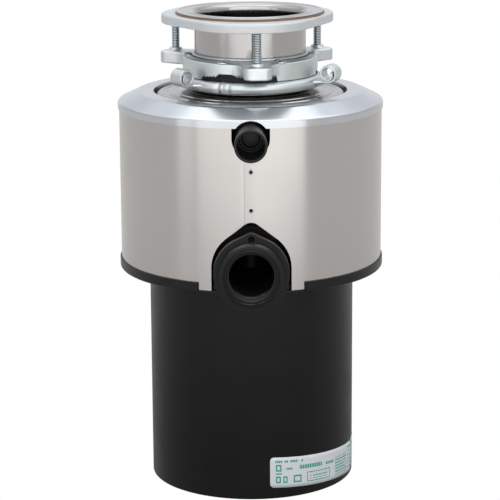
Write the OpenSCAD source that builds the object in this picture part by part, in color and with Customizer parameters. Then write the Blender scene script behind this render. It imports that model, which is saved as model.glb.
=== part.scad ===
// Kitchen garbage disposal with a quick-lock sink mount.
// Z is the motor shaft's axis, the floor of the motor can is z = 0,
// and the discharge port and the dishwasher inlet face -Y.

/* [Motor] */
// Outside radius of the motor can
can_r = 80; // [72:0.5:97]
// Wall thickness of the motor can
can_wall = 1.5; // [1:0.1:2.5]
// Height of the motor can
can_h = 166; // [160:1:200]
// Radius of the motor shaft
shaft_r = 8; // [6.5:0.1:10]
// Height of the stator's laminated core
stator_h = 56; // [40:1:62]
// Bore radius of the stator core
stator_bore_r = 36.2; // [30:0.1:44]
// Air gap between rotor and stator
air_gap = 0.6; // [0.4:0.05:1]
// Radius of the supply cable's knockout hole
cable_hole_r = 11.1; // [9:0.1:13.5]
// Travel of the reset button
button_travel = 2.5; // [1.5:0.1:3]
// Travel of the centrifugal actuator along the shaft
actuator_travel = 2.5; // [1.5:0.1:3]

/* [Drain chamber] */
// Height of the drain chamber above the motor can
chamber_h = 50; // [46:1:62]
// Height of the discharge port's axis above the motor can
outlet_rise = 22.5; // [22:0.5:25]
// Bore radius of the rubber ring in the discharge port
outlet_bore_r = 16.65; // [13:0.05:17.5]
// Radius of the discharge port's round plate
port_plate_r = 28.3; // [25:0.1:30]

/* [Grinding] */
// Radius of the turntable
turntable_r = 62; // [52:0.5:75]
// Height of the grind container
container_h = 89; // [75:1:110]
// Wall thickness of the grind container
container_wall = 1.2; // [0.8:0.1:2]

/* [Trim shell] */
// Outside radius of the trim shell
shell_r = 102; // [96:0.5:123]
// Wall thickness of the trim shell
shell_wall = 0.8; // [0.6:0.1:1.5]
// How far the dishwasher inlet stands out of the shell
inlet_reach = 30; // [20:1:40]
// Radius of the inlet's hose bead
inlet_bead_r = 12.15; // [10:0.05:14.5]

/* [Sink mount] */
// Outside radius of the sink flange's sleeve
sleeve_r = 43; // [36:0.1:52]
// Wall thickness of the sink flange
sleeve_wall = 1.5; // [1:0.1:2.5]
// Radius of the mounting screws' thread
screw_r = 3.175; // [2.6:0.005:3.85]
// Gap between the upper ring and the backup flange
clamp_gap = 24.2; // [18:0.1:30]
// Height of the backup flange
backup_h = 7.3; // [5:0.1:9]

/* [Hidden] */
$fn = 96;

// Clearances
seat = 0.05;         // between pieces that are pressed or seated together
run_gap = 0.05;      // radial running fit of the rotating and sliding pieces
gap = 0.3;           // between pieces that only lie near each other
eps = 0.01;          // overlap inside one piece, so that its volumes join

// Motor, from the floor up
foot_lip = 8;
can_in_r = can_r - can_wall;
frame_z = 6;
frame_t = 4;
frame_top_z = frame_z + frame_t;
rim_w = 14;
boss_r = 18;
boss_h = 20;
bearing_wall = 6;
rotor_r = stator_bore_r - air_gap;
ring_h = 10;
coil_h = 16;
slot_count = 24;
slot_r0 = stator_bore_r + 1.6;
slot_r1 = stator_bore_r + 22;
slot_w = 5.4;
bolt_r = 2.5;
bolt_ring_r = can_r - 12.5;
bolt_count = 4;
wrench_socket_af = 6.4;
wrench_socket_depth = 9;
shaft_z = 8;
actuator_z = frame_top_z + boss_h + 3;
actuator_h = 8;
spring_solid_h = 6.5;
stator_z = actuator_z + actuator_h + actuator_travel + spring_solid_h + ring_h;
actuator_flange_r = shaft_r + 18;
actuator_flange_t = 2;
button_r = 4;
button_flange_r = 6;
button_flange_t = 1.7;
button_spring_h = 9;
button_x = 30;
button_y = -36;
cable_x = -42;
cable_y = -24;
cover_y = 46;
ground_x = 46;
ground_y = 24;
lever_pivot_y = 40;
lever_pivot_z = actuator_z - 0.7;
lever_reach = 20;
lever_w = 11;
lever_t = 0.8;
pivot_r = 1;

// Drain chamber and grinding parts
chamber_z = can_h;
chamber_top_z = chamber_z + chamber_h;
outlet_z = chamber_z + outlet_rise;
floor_t = 4;
ring_gap = 1.4;
shredder_wall = 8.2;
shredder_r = turntable_r + ring_gap + shredder_wall;
chamber_r = shredder_r + 0.4;
chamber_wall = 4;
chamber_out_r = chamber_r + chamber_wall;
flange_r = chamber_out_r + 10;
flange_t = 4;
gasket_t = 2;
container_z = chamber_top_z + gasket_t;
container_top_z = container_z + container_h;
container_r = chamber_r + container_wall;
turntable_z = chamber_top_z + 6;
turntable_t = 3;
turntable_top_z = turntable_z + turntable_t;
stud_r = shaft_r - 2;
hub_r = shaft_r + 6;
hub_h = 9;
seal_z = chamber_z + 14;
seal_h = 8;
seal_r = shaft_r + 8;
upper_bearing_h = 22;
upper_bearing_z = seal_z - upper_bearing_h - 2;
neck_z = seal_z + seal_h;
snout_r = outlet_bore_r + 5.2;
snout_bore_r = outlet_bore_r + 1.4;
port_face = shell_r + 15.5;
port_plate_t = 6;
ear_rise = port_plate_r - 1.9;
ear_r = 4.6;
ear_hole_r = 2.55;
lug_pitch_r = turntable_r * 0.6;
lug_pin_r = 4;
lug_w = 17;
lug_t = 5;
lug_z = turntable_top_z + gap;
lug_tip_r = turntable_r - lug_pitch_r - 1.6;
lug_anvil_h = 7;

// Trim shell, cap and base ring
lip_w = 1.2;
base_ring_r = shell_r + lip_w;
base_ring_z = chamber_z + 4.3;
base_ring_h = 7;
shelf_t = 2.2;
shell_z = base_ring_z + shelf_t - 1;
cap_top_z = container_top_z + 1.3;
cap_t = 1.5;
cap_r = shell_r + 1.2;
cap_rim_h = 6.2;
cap_in_r = container_r + 1.8;
cap_cone_r = cap_in_r + 11;
cap_edge_z = cap_top_z - 7.2;
shell_top_z = cap_edge_z - 1.6;
cut_r = port_plate_r + 1.7;
cut_apex_r = 8;
cut_rise = ear_rise + 0.4;
tab_half_w = 40.3;
inlet_z = container_top_z - 20;
inlet_r = inlet_bead_r - 0.75;
inlet_bore_r = inlet_bead_r - 2.15;
inlet_y = -(shell_r + inlet_reach);
inlet_slot_r = inlet_bead_r + 2.05;
cap_notch_r = inlet_bead_r + 1.55;
rivet_rises = [45.2, 74.1];

// Sink mount
neck_r = sleeve_r + 2.2;
neck_lip_r = sleeve_r + 7.6;
neck_top_z = container_top_z + 9.2;
cushion_z = neck_top_z + gap;
lock_z = container_top_z + 4.7;
bead_rr = 4.6;
bead_cr = sleeve_r + 9.1;
ear_tube_r = 6.9;
ear_z = lock_z + 4.8;
ear_pitch_r = sleeve_r + 22.8;
ear_len = 13;
ear_angles = [-51.3, 68.7, 188.7];
upper_z = container_top_z + 16.4;
upper_h = 12.6;
upper_top_z = upper_z + upper_h;
upper_r = sleeve_r + 9.3;
upper_wall = 2;
screw_pitch_r = sleeve_r + 21.5;
screw_angles = [4.7, 124.7, -115.3];
boss_w_r = 10.8;
screw_lug_h = 9.2;
collar_h = 2.5;
backup_z = upper_top_z + clamp_gap;
backup_top_z = backup_z + backup_h;
backup_shift = [-1.2, -2.6];
backup_lobe = sleeve_r + 25;
backup_flat = sleeve_r + 15.6;
backup_round = sleeve_r - 1;
backup_bore_r = sleeve_r + norm(backup_shift) + gap;
fibre_t = 1.2;
flange_z = backup_top_z + fibre_t;
flange_lip_t = 1;
sink_flange_r = sleeve_r + 13.7;
fibre_r = sleeve_r + 14.4;
throat_r = sleeve_r - sleeve_wall;
sleeve_z = cushion_z + 10.4;

// Points of an arc about (cx, cy) from angle a0 to a1 in n steps
function arc(cx, cy, r, a0, a1, n = 6) =
    [for (i = [0:n]) let (a = a0 + (a1 - a0) * i / n) [cx + r * cos(a), cy + r * sin(a)]];

// Points of a closed tube of wire wound as a coil: rings of 8 points, one ring every step degrees
function coil_points(coil_r, wire_r, h, turns, step) =
    [for (a = [0:step:360 * turns], k = [0:7])
        let (r = coil_r + wire_r * cos(45 * k))
        [r * cos(a), r * sin(a), wire_r + (h - 2 * wire_r) * a / (360 * turns) + wire_r * sin(45 * k)]];

// A ring of rectangular section
module band(r_in, r_out, z, h) {
    translate([0, 0, z])
        difference() {
            cylinder(r = r_out, h = h);
            translate([0, 0, -1])
                cylinder(r = r_in, h = h + 2);
        }
}

// A round bar or hole along +Z
module rod(r, z, h, x = 0, y = 0) {
    translate([x, y, z])
        cylinder(r = r, h = h);
}

// A round bar or hole along -Y, from y0 outwards
module bar_y(r, y0, len, z) {
    translate([0, y0, z])
        rotate([90, 0, 0])
            cylinder(r = r, h = len);
}

// Turns its children so that -Y looks towards an angle, counted from -Y towards +X
module facing(a) {
    rotate([0, 0, a])
        children();
}

// Two circles, the smaller one above, with their outer tangents
module teardrop(r1, r2, rise) {
    lift = asin((r1 - r2) / rise);
    circle(r = r1);
    translate([0, rise])
        circle(r = r2);
    polygon([
        [r1 * cos(lift), r1 * sin(lift)],
        [r2 * cos(lift), rise + r2 * sin(lift)],
        [-r2 * cos(lift), rise + r2 * sin(lift)],
        [-r1 * cos(lift), r1 * sin(lift)]
    ]);
}

// The teardrop standing up in the XZ plane, extruded along -Y from y0
module port_shape(r1, r2, rise, y0, len) {
    translate([0, y0, outlet_z])
        rotate([90, 0, 0])
            linear_extrude(height = len)
                teardrop(r1, r2, rise);
}

// Room that the skins leave around the discharge port, open at the bottom
module port_cut(margin, y0, len) {
    port_shape(cut_r + margin, cut_apex_r + margin, cut_rise, y0, len);
    translate([-cut_r - margin, y0 - len, outlet_z - 50])
        cube([2 * (cut_r + margin), len, 50]);
}

module coil(coil_r, wire_r, z, h, turns) {
    step = 24;
    pts = coil_points(coil_r, wire_r, h, turns, step);
    rings = len(pts) / 8;
    sides = [for (i = [0:rings - 2], k = [0:7])
        [8 * i + k, 8 * i + (k + 1) % 8, 8 * i + 8 + (k + 1) % 8, 8 * i + 8 + k]];
    caps = [[for (k = [7:-1:0]) k], [for (k = [0:7]) 8 * (rings - 1) + k]];
    translate([0, 0, z])
        polyhedron(points = pts, faces = concat(sides, caps));
}

// ---- Motor ----

module motor_can() {
    color([0.09, 0.09, 0.1])
        rotate_extrude()
            polygon(concat(
                [[can_r - foot_lip, 0]],
                arc(can_r - can_wall, can_wall, can_wall, -90, 0, 4),
                [[can_r, can_h], [can_in_r, can_h], [can_in_r, can_wall], [can_r - foot_lip, can_wall]]
            ));
}

module lower_end_frame() {
    rib_h = 10;
    color([0.6, 0.61, 0.62])
        difference() {
            union() {
                rod(can_in_r - seat, frame_z, frame_t);
                band(can_in_r - rim_w, can_in_r - seat, frame_top_z - eps, 14);
                band(can_r - foot_lip, can_in_r - seat, can_wall, frame_z - can_wall + eps);
                rod(boss_r, frame_top_z - eps, boss_h);
                for (a = [15, 85, 150, 210, 275, 345])
                    facing(a)
                        translate([-2, -(can_in_r - rim_w + 1), frame_top_z - eps])
                            cube([4, can_in_r - rim_w + 1 - 15, rib_h]);
            }
            rod(shaft_r + bearing_wall + seat, frame_z + 3, 40);
            rod(shaft_r + 1, frame_z - 1, 10);
            rod(cable_hole_r, frame_z - 1, 30, cable_x, cable_y);
            rod(button_r + gap, frame_z - 1, 10, button_x, button_y);
            translate([-20, cover_y - 9, frame_z - 1])
                cube([40, 18, 30]);
            for (s = [-1, 1])
                rod(1.8, frame_z - 1, 10, 24 * s, cover_y);
            rod(2.1, frame_z - 1, 10, ground_x, ground_y);
            for (i = [0:bolt_count - 1])
                facing(45 + 360 / bolt_count * i)
                    rod(bolt_r + gap, frame_z - 1, 30, 0, -bolt_ring_r);
        }
}

module lower_bearing() {
    color([0.72, 0.52, 0.3])
        band(shaft_r + run_gap, shaft_r + bearing_wall, frame_z + 3.2, boss_h);
}

module terminal_cover() {
    color([0.66, 0.67, 0.69])
        difference() {
            translate([-28, cover_y - 13, frame_z - 1.3])
                cube([56, 26, 1.2]);
            for (s = [-1, 1])
                rod(2, frame_z - 2, 4, 24 * s, cover_y);
        }
}

module cover_screws() {
    color([0.75, 0.76, 0.78])
        for (s = [-1, 1]) {
            rod(3.4, frame_z - 3.2, 1.8, 24 * s, cover_y);
            rod(1.7, frame_z - 1.5, 9, 24 * s, cover_y);
        }
}

module ground_screw() {
    color([0.1, 0.45, 0.2]) {
        translate([ground_x, ground_y, frame_z - 3])
            cylinder(r = 4.6, h = 2.9, $fn = 6);
        rod(2, frame_z - 0.2, 9, ground_x, ground_y);
    }
}

module overload_protector() {
    cavity_h = button_flange_t + button_travel + button_spring_h;
    color([0.16, 0.13, 0.12])
        difference() {
            translate([button_x - 11, button_y - 9, frame_top_z + seat])
                cube([22, 18, cavity_h + 4]);
            rod(button_flange_r + 1, frame_top_z - 1, cavity_h + 1, button_x, button_y);
        }
}

module reset_button() {
    color([0.75, 0.08, 0.06]) {
        rod(button_r, frame_z - button_travel - 1.5, 5.5 + frame_t, button_x, button_y);
        rod(button_flange_r, frame_top_z + gap, button_flange_t, button_x, button_y);
    }
}

module reset_spring() {
    color([0.7, 0.71, 0.73])
        translate([button_x, button_y, 0])
            coil(button_r + 0.6, 0.4, frame_top_z + gap + button_flange_t + seat,
                 button_travel + button_spring_h - gap - 2 * seat, 5);
}

module through_bolts() {
    color([0.68, 0.69, 0.71])
        for (i = [0:bolt_count - 1])
            facing(45 + 360 / bolt_count * i) {
                rod(4.2, frame_z - 3.2, 3.1, 0, -bolt_ring_r);
                rod(bolt_r, frame_z - 0.2, chamber_z - frame_z - 1, 0, -bolt_ring_r);
            }
}

module stator_core() {
    color([0.36, 0.37, 0.39])
        translate([0, 0, stator_z])
            linear_extrude(height = stator_h)
                difference() {
                    circle(r = can_in_r - seat);
                    circle(r = stator_bore_r);
                    for (i = [0:bolt_count - 1])
                        rotate(45 + 360 / bolt_count * i)
                            translate([0, -bolt_ring_r])
                                circle(r = bolt_r + gap);
                    for (i = [0:slot_count - 1])
                        rotate(360 / slot_count * i)
                            translate([slot_r0, -slot_w / 2])
                                square([slot_r1 - slot_r0, slot_w]);
                }
}

module stator_windings() {
    color([0.68, 0.36, 0.16]) {
        for (z = [stator_z - coil_h - gap, stator_z + stator_h + gap])
            translate([0, 0, z])
                rotate_extrude()
                    polygon(concat(
                        arc(slot_r0 + 4, 4, 4, 180, 270, 4),
                        arc(slot_r1 - 4, 4, 4, 270, 360, 4),
                        arc(slot_r1 - 4, coil_h - 4, 4, 0, 90, 4),
                        arc(slot_r0 + 4, coil_h - 4, 4, 90, 180, 4)
                    ));
        for (i = [0:slot_count - 1])
            rotate(360 / slot_count * i)
                translate([slot_r0 + gap, gap - slot_w / 2, stator_z - 4])
                    cube([slot_r1 - slot_r0 - 2 * gap, slot_w - 2 * gap, stator_h + 8]);
    }
}

module motor_shaft() {
    color([0.72, 0.73, 0.75])
        difference() {
            union() {
                rod(shaft_r, shaft_z, turntable_z - hub_h - shaft_z);
                rod(stud_r, turntable_z - hub_h - 1, hub_h + turntable_t + 10);
            }
            translate([0, 0, shaft_z - 1])
                cylinder(r = wrench_socket_af / sqrt(3), h = wrench_socket_depth + 1, $fn = 6);
        }
}

module rotor_core() {
    color([0.4, 0.41, 0.43])
        band(shaft_r + seat, rotor_r, stator_z, stator_h);
}

module rotor_end_rings() {
    color([0.74, 0.75, 0.76])
        for (z = [stator_z - ring_h - seat, stator_z + stator_h + seat])
            band(rotor_r - 13, rotor_r - 0.6, z, ring_h);
}

module centrifugal_actuator() {
    color([0.82, 0.8, 0.72])
        difference() {
            union() {
                rod(actuator_flange_r, actuator_z, actuator_flange_t);
                rod(shaft_r + 5, actuator_z, actuator_h);
            }
            rod(shaft_r + run_gap, actuator_z - 1, actuator_h + 2);
        }
}

module actuator_spring() {
    color([0.7, 0.71, 0.73])
        coil(shaft_r + 8, 0.6, actuator_z + actuator_flange_t + seat,
             stator_z - ring_h - actuator_z - actuator_flange_t - 3 * seat, 4);
}

module start_switch() {
    color([0.2, 0.2, 0.22])
        difference() {
            union() {
                translate([-9, 21, frame_top_z + seat])
                    cube([18, lever_pivot_y - 21 + 4, lever_pivot_z - frame_top_z - 3]);
                for (s = [-1, 1])
                    translate([s * 7.5 - 1.5, lever_pivot_y - 3, lever_pivot_z - 4])
                        cube([3, 6, 6]);
            }
            translate([-20, cover_y - 9, frame_top_z - 1])
                cube([40, 18, 8]);
        }
    color([0.7, 0.7, 0.72])
        translate([-8, lever_pivot_y, lever_pivot_z])
            rotate([0, 90, 0])
                cylinder(r = pivot_r, h = 16);
}

module switch_lever() {
    color([0.75, 0.66, 0.4])
        difference() {
            union() {
                translate([-lever_w / 2, lever_pivot_y, lever_pivot_z])
                    rotate([0, 90, 0])
                        cylinder(r = 2, h = lever_w);
                translate([-lever_w / 2, lever_pivot_y - lever_reach, lever_pivot_z - lever_t / 2])
                    cube([lever_w, lever_reach, lever_t]);
            }
            translate([-lever_w, lever_pivot_y, lever_pivot_z])
                rotate([0, 90, 0])
                    cylinder(r = pivot_r + run_gap, h = 2 * lever_w);
        }
}

module rating_label() {
    label_z = 9.5;
    label_h = 24.5;
    label_a0 = 9.7;
    label_sweep = 86;
    color([0.93, 0.94, 0.93])
        rotate([0, 0, label_a0 - 90])
            rotate_extrude(angle = label_sweep)
                translate([can_r + 0.02, label_z])
                    square([0.18, label_h]);
}

// ---- Drain chamber ----

module drain_chamber() {
    boss_out_r = shaft_r + bearing_wall + 6;
    color([0.11, 0.11, 0.12])
        difference() {
            union() {
                rotate_extrude()
                    polygon([
                        [can_in_r - 14, chamber_z - 8], [can_in_r - seat, chamber_z - 8],
                        [can_in_r - seat, chamber_z + seat], [can_r, chamber_z + seat],
                        [can_r, chamber_z + floor_t - 1], [chamber_out_r, chamber_z + floor_t - 1],
                        [chamber_out_r, chamber_top_z - flange_t], [flange_r, chamber_top_z - flange_t],
                        [flange_r, chamber_top_z], [chamber_r, chamber_top_z],
                        [chamber_r, chamber_z + floor_t], [boss_out_r, chamber_z + floor_t],
                        [boss_out_r - 2, neck_z], [0, neck_z], [0, upper_bearing_z],
                        [boss_out_r, upper_bearing_z], [boss_out_r, chamber_z], [can_in_r - 14, chamber_z]
                    ]);
                bar_y(snout_r, -chamber_r, port_face - chamber_r, outlet_z);
                port_shape(port_plate_r, ear_r, ear_rise, -port_face + port_plate_t, port_plate_t);
            }
            bar_y(snout_bore_r, -chamber_r + 8, shell_r, outlet_z);
            rod(shaft_r + bearing_wall + seat, upper_bearing_z - 1, upper_bearing_h + 1);
            rod(shaft_r + 1, upper_bearing_z, upper_bearing_h + 6);
            rod(seal_r + seat, seal_z, seal_h + 1);
            translate([0, -port_face + port_plate_t + 1, outlet_z + ear_rise])
                rotate([90, 0, 0])
                    cylinder(r = ear_hole_r, h = port_plate_t + 2);
            for (i = [0:bolt_count - 1])
                facing(45 + 360 / bolt_count * i)
                    rod(bolt_r + seat, chamber_z - 9, 9, 0, -bolt_ring_r);
            for (i = [0:5])
                facing(30 + 60 * i)
                    rod(1.7, chamber_top_z - flange_t - 1, flange_t + 2, 0, -(flange_r - 5));
        }
}

module outlet_gasket() {
    color([0.07, 0.07, 0.07])
        translate([0, -port_face - seat, outlet_z])
            rotate([90, 0, 0])
                rotate_extrude()
                    polygon(concat(
                        [[outlet_bore_r, 0]],
                        [[outlet_bore_r + 7.3, 0]],
                        arc(outlet_bore_r + 4.3, 4, 3, 0, 90, 5),
                        [[outlet_bore_r + 3, 7], [outlet_bore_r + 3, 5.6], [outlet_bore_r, 5.6]]
                    ));
}

module upper_bearing() {
    color([0.72, 0.52, 0.3])
        band(shaft_r + run_gap, shaft_r + bearing_wall, upper_bearing_z, upper_bearing_h - seat);
}

module shaft_seal() {
    color([0.08, 0.08, 0.08])
        rotate_extrude()
            polygon([
                [shaft_r + 0.09, seal_z + seat], [seal_r, seal_z + seat], [seal_r, neck_z],
                [shaft_r + 4, neck_z], [shaft_r + 4, seal_z + 3], [shaft_r + 2, neck_z - 2],
                [shaft_r + 0.09, neck_z - 2]
            ]);
}

module container_gasket() {
    color([0.08, 0.08, 0.08])
        difference() {
            band(chamber_out_r + 1, flange_r, chamber_top_z + seat, gasket_t - 2 * seat);
            for (i = [0:5])
                facing(30 + 60 * i)
                    rod(2.2, chamber_top_z - 1, gasket_t + 2, 0, -(flange_r - 5));
        }
}

module container_screws() {
    color([0.72, 0.73, 0.75])
        for (i = [0:5])
            facing(30 + 60 * i) {
                rod(3.6, container_z + container_wall + seat, 2.4, 0, -(flange_r - 5));
                rod(1.65, chamber_top_z - flange_t + 0.2, flange_t + gasket_t + 2, 0, -(flange_r - 5));
            }
}

module shredder_ring() {
    tooth_count = 30;
    color([0.7, 0.7, 0.71])
        difference() {
            union() {
                band(turntable_r + ring_gap, shredder_r, chamber_top_z - 8, 30);
                band(shredder_r - 1, chamber_out_r + 0.6, chamber_top_z + seat, gasket_t - 2 * seat);
            }
            for (i = [0:tooth_count - 1])
                rotate([0, 0, 360 / tooth_count * i])
                    translate([turntable_r, -2.4, chamber_top_z - 9])
                        cube([ring_gap + 3.4, 4.8, 27]);
        }
}

module turntable() {
    color([0.73, 0.73, 0.74])
        difference() {
            union() {
                rod(turntable_r, turntable_z, turntable_t);
                rod(hub_r, turntable_z - hub_h + seat, hub_h);
            }
            rod(stud_r + seat, turntable_z - hub_h - 1, hub_h + turntable_t + 2);
            for (s = [0, 180])
                facing(s)
                    rod(lug_pin_r, turntable_z - 1, turntable_t + 2, 0, -lug_pitch_r);
            for (i = [0:7])
                facing(22.5 + 45 * i)
                    rod(2.6, turntable_z - 1, turntable_t + 2, 0, -(turntable_r - 12));
        }
}

module lug_pins() {
    color([0.66, 0.67, 0.68])
        for (s = [0, 180])
            facing(s) {
                rod(lug_pin_r, turntable_z, turntable_t + 2 * gap + lug_t + 1, 0, -lug_pitch_r);
                rod(6.5, lug_z + lug_t + gap, 2.2, 0, -lug_pitch_r);
            }
}

// One swinging lug: a flat arm on its pin, with an upright anvil at the free end
module swivel_lug() {
    tip = lug_tip_r;
    translate([0, -lug_pitch_r, lug_z])
        difference() {
            union() {
                rod(lug_w / 2, 0, lug_t);
                translate([-lug_w / 2, -(tip - 4), 0])
                    cube([lug_w, tip - 4, lug_t]);
                intersection() {
                    rod(tip, 0, lug_t + lug_anvil_h);
                    translate([-lug_w / 2, -tip, 0])
                        cube([lug_w, 9, lug_t + lug_anvil_h]);
                }
            }
            rod(lug_pin_r + run_gap, -1, lug_t + 2);
        }
}

module swivel_lug_a() {
    color([0.68, 0.68, 0.69])
        swivel_lug();
}

module swivel_lug_b() {
    color([0.68, 0.68, 0.69])
        facing(180)
            swivel_lug();
}

module turntable_nut() {
    color([0.66, 0.67, 0.68])
        difference() {
            translate([0, 0, turntable_top_z + seat])
                cylinder(r = stud_r + 4.4, h = 7, $fn = 6);
            rod(stud_r + seat, turntable_top_z - 1, 10);
        }
}

module grind_container() {
    r0 = container_r - container_wall;
    t = container_wall;
    top = container_top_z;
    color([0.5, 0.48, 0.47])
        difference() {
            rotate_extrude()
                polygon(concat(
                    [[r0, container_z], [flange_r, container_z], [flange_r, container_z + t]],
                    [[container_r, container_z + t]],
                    arc(container_r - 4, top - 4, 4, 0, 90, 5),
                    [[container_r - 6, top - 0.8], [container_r - 9, top - 0.8]],
                    [[container_r - 11, top], [neck_r + t + 4, top + 1.6]],
                    [[neck_r + t, top + 3.2], [neck_r + t, neck_top_z - t]],
                    [[neck_lip_r, neck_top_z - t], [neck_lip_r, neck_top_z], [neck_r, neck_top_z]],
                    [[neck_r, top + 2.4], [neck_r + 3, top + 1.6 - t], [container_r - 11, top - t]],
                    [[container_r - 9, top - 0.8 - t], [container_r - 6, top - 0.8 - t]],
                    arc(container_r - 4, top - 4, 4 - t, 90, 0, 5)
                ));
            bar_y(inlet_r + 0.4, -container_r + 12, 20, inlet_z);
            for (i = [0:5])
                facing(30 + 60 * i)
                    rod(2.2, container_z - 1, t + 2, 0, -(flange_r - 5));
        }
}

module dishwasher_inlet() {
    wall_y = -(container_r + 0.6);
    bead_len = 5;
    color([0.06, 0.06, 0.07])
        difference() {
            union() {
                bar_y(inlet_r, -container_r + 6, -inlet_y - container_r + 6, inlet_z);
                bar_y(inlet_r + 4, wall_y - 1.5, 4, inlet_z);
                bar_y(inlet_bead_r, inlet_y + bead_len, bead_len, inlet_z);
            }
            bar_y(inlet_bore_r, 0, shell_r * 2, inlet_z);
        }
}

module inlet_plug() {
    color([0.08, 0.08, 0.09])
        bar_y(inlet_bore_r - seat, -shell_r + 4, 2.5, inlet_z);
}

// ---- Trim ----

// Removes the outer part of a ring over the front tabs' width
module front_notch(r, z, h) {
    intersection() {
        band(r, r + 20, z, h);
        translate([-tab_half_w, -(r + 20), z])
            cube([2 * tab_half_w, r + 20, h]);
    }
}

module base_ring() {
    in_r = max(chamber_out_r, can_r) + 0.4;
    shelf_z = base_ring_z - 0.8;
    color([0.1, 0.1, 0.11])
        difference() {
            rotate_extrude()
                polygon(concat(
                    [[in_r, shelf_z]],
                    arc(base_ring_r - 2, base_ring_z + 1.2, 2, -90, 0, 4),
                    [[base_ring_r, base_ring_z + base_ring_h], [shell_r + 0.2, base_ring_z + base_ring_h]],
                    [[shell_r + 0.2, shell_z - seat], [shell_r - 3, shell_z - seat]],
                    [[shell_r - 3, shell_z + 4], [shell_r - 5, shell_z + 4]],
                    [[shell_r - 5, shell_z - seat], [in_r + 2, shell_z - seat]],
                    [[in_r + 2, shell_z + 6], [in_r, shell_z + 6]]
                ));
            front_notch(shell_r + 0.1, shelf_z - 1, base_ring_h + 4);
            translate([-snout_r - 2, -shell_r - 10, shelf_z - 1])
                cube([2 * snout_r + 4, shell_r - in_r + 30, 30]);
        }
}

module shell_wrap() {
    seam_x = -5.2;
    lap_w = 15;
    color([0.66, 0.64, 0.62])
        difference() {
            union() {
                band(shell_r - shell_wall, shell_r, shell_z, shell_top_z - shell_z);
                intersection() {
                    band(shell_r - 2 * shell_wall, shell_r - shell_wall + eps, shell_z + 8,
                         shell_top_z - shell_z - 16);
                    translate([seam_x, -shell_r - 1, shell_z])
                        cube([lap_w, 20, shell_top_z - shell_z]);
                }
            }
            port_cut(0, -shell_r + 18, 30);
            bar_y(inlet_slot_r, -shell_r + 10, 20, inlet_z);
            translate([-inlet_slot_r, -shell_r - 10, inlet_z])
                cube([2 * inlet_slot_r, 20, 30]);
            for (rise = rivet_rises)
                bar_y(1.6, -shell_r + 10, 20, outlet_z + rise);
        }
}

module shell_rivets() {
    color([0.6, 0.6, 0.61])
        for (rise = rivet_rises)
            difference() {
                union() {
                    bar_y(2.2, -shell_r - 0.05, 0.6, outlet_z + rise);
                    bar_y(1.55, -shell_r + 2, 2.1, outlet_z + rise);
                }
                bar_y(1, -shell_r, 2, outlet_z + rise);
            }
}

module insulation_foam() {
    r_out = shell_r - 2 * shell_wall - 0.5;
    color([0.85, 0.85, 0.82])
        difference() {
            rotate_extrude()
                polygon([
                    [chamber_out_r + 6, shell_z + 12], [r_out, shell_z + 12], [r_out, cap_edge_z - 3],
                    [r_out - 10, cap_top_z - cap_t - 6.5], [container_r + 3, cap_top_z - cap_t - 6.5],
                    [container_r + 1, cap_top_z - cap_t - 12], [container_r + 1, container_z + 8],
                    [flange_r + 1, container_z + 8], [flange_r + 1, chamber_top_z - flange_t - 4],
                    [chamber_out_r + 6, chamber_top_z - flange_t - 4]
                ]);
            port_cut(1, -chamber_r + 10, 60);
            bar_y(inlet_r + 6, -container_r + 10, 60, inlet_z);
        }
}

module cap_ring() {
    color([0.78, 0.8, 0.84])
        difference() {
            rotate_extrude()
                polygon(concat(
                    [[cap_in_r, cap_top_z - 5]],
                    [[cap_in_r, cap_top_z - 1]],
                    arc(cap_in_r + 1, cap_top_z - 1, 1, 180, 90, 3),
                    [[cap_cone_r, cap_top_z]],
                    arc(cap_r - 2, cap_edge_z - 1.2, 2, 66, 0, 4),
                    [[cap_r, cap_edge_z - cap_rim_h], [cap_r - 1, cap_edge_z - cap_rim_h]],
                    [[cap_r - 1, cap_edge_z - 1.4], [cap_cone_r, cap_top_z - cap_t]],
                    [[cap_in_r + 1.2, cap_top_z - cap_t], [cap_in_r + 1.2, cap_top_z - 5]]
                ));
            bar_y(cap_notch_r, -shell_r + 14, 30, inlet_z);
        }
}

// ---- Sink mount ----

module mounting_gasket() {
    color([0.05, 0.05, 0.05])
        rotate_extrude()
            polygon([
                [neck_r - 2, cushion_z], [neck_lip_r + 0.4, cushion_z], [neck_lip_r + 0.4, upper_z - 0.6],
                [upper_r - upper_wall - gap, upper_z - 0.6], [upper_r - upper_wall - gap, sleeve_z + 5],
                [sleeve_r + gap, sleeve_z + 5], [sleeve_r + gap, sleeve_z - gap],
                [sleeve_r - 2, sleeve_z - gap], [sleeve_r - 2, cushion_z + 6], [neck_r - 2, cushion_z + 3]
            ]);
}

module splash_baffle() {
    baffle_r = sleeve_r - 2 - gap;
    color([0.05, 0.05, 0.05])
        difference() {
            union() {
                rod(baffle_r, cushion_z + 6.4, 1.6);
                band(baffle_r - 2, baffle_r, cushion_z + 6.4, 3.4);
            }
            rod(8, cushion_z + 5, 5);
            for (i = [0:7])
                rotate([0, 0, 45 * i])
                    translate([6, -0.5, cushion_z + 5])
                        cube([baffle_r - 12, 1, 5]);
        }
}

// One rolled ear: a curled tube lying along the ring, with the strip that it is rolled from
module rolled_ear() {
    z = ear_z + ear_tube_r;
    translate([-ear_len / 2, 0, 0])
        difference() {
            union() {
                translate([0, -ear_pitch_r, z])
                    rotate([0, 90, 0])
                        cylinder(r = ear_tube_r, h = ear_len);
                translate([0, -ear_pitch_r, ear_z])
                    cube([ear_len, ear_pitch_r - bead_cr - 2, 2]);
            }
            translate([-1, -ear_pitch_r, z])
                rotate([0, 90, 0])
                    cylinder(r = ear_tube_r - 2, h = ear_len + 2);
            translate([-1, -ear_pitch_r + 2.5, ear_z + 2])
                cube([ear_len + 2, ear_tube_r, 4.2]);
        }
}

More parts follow.
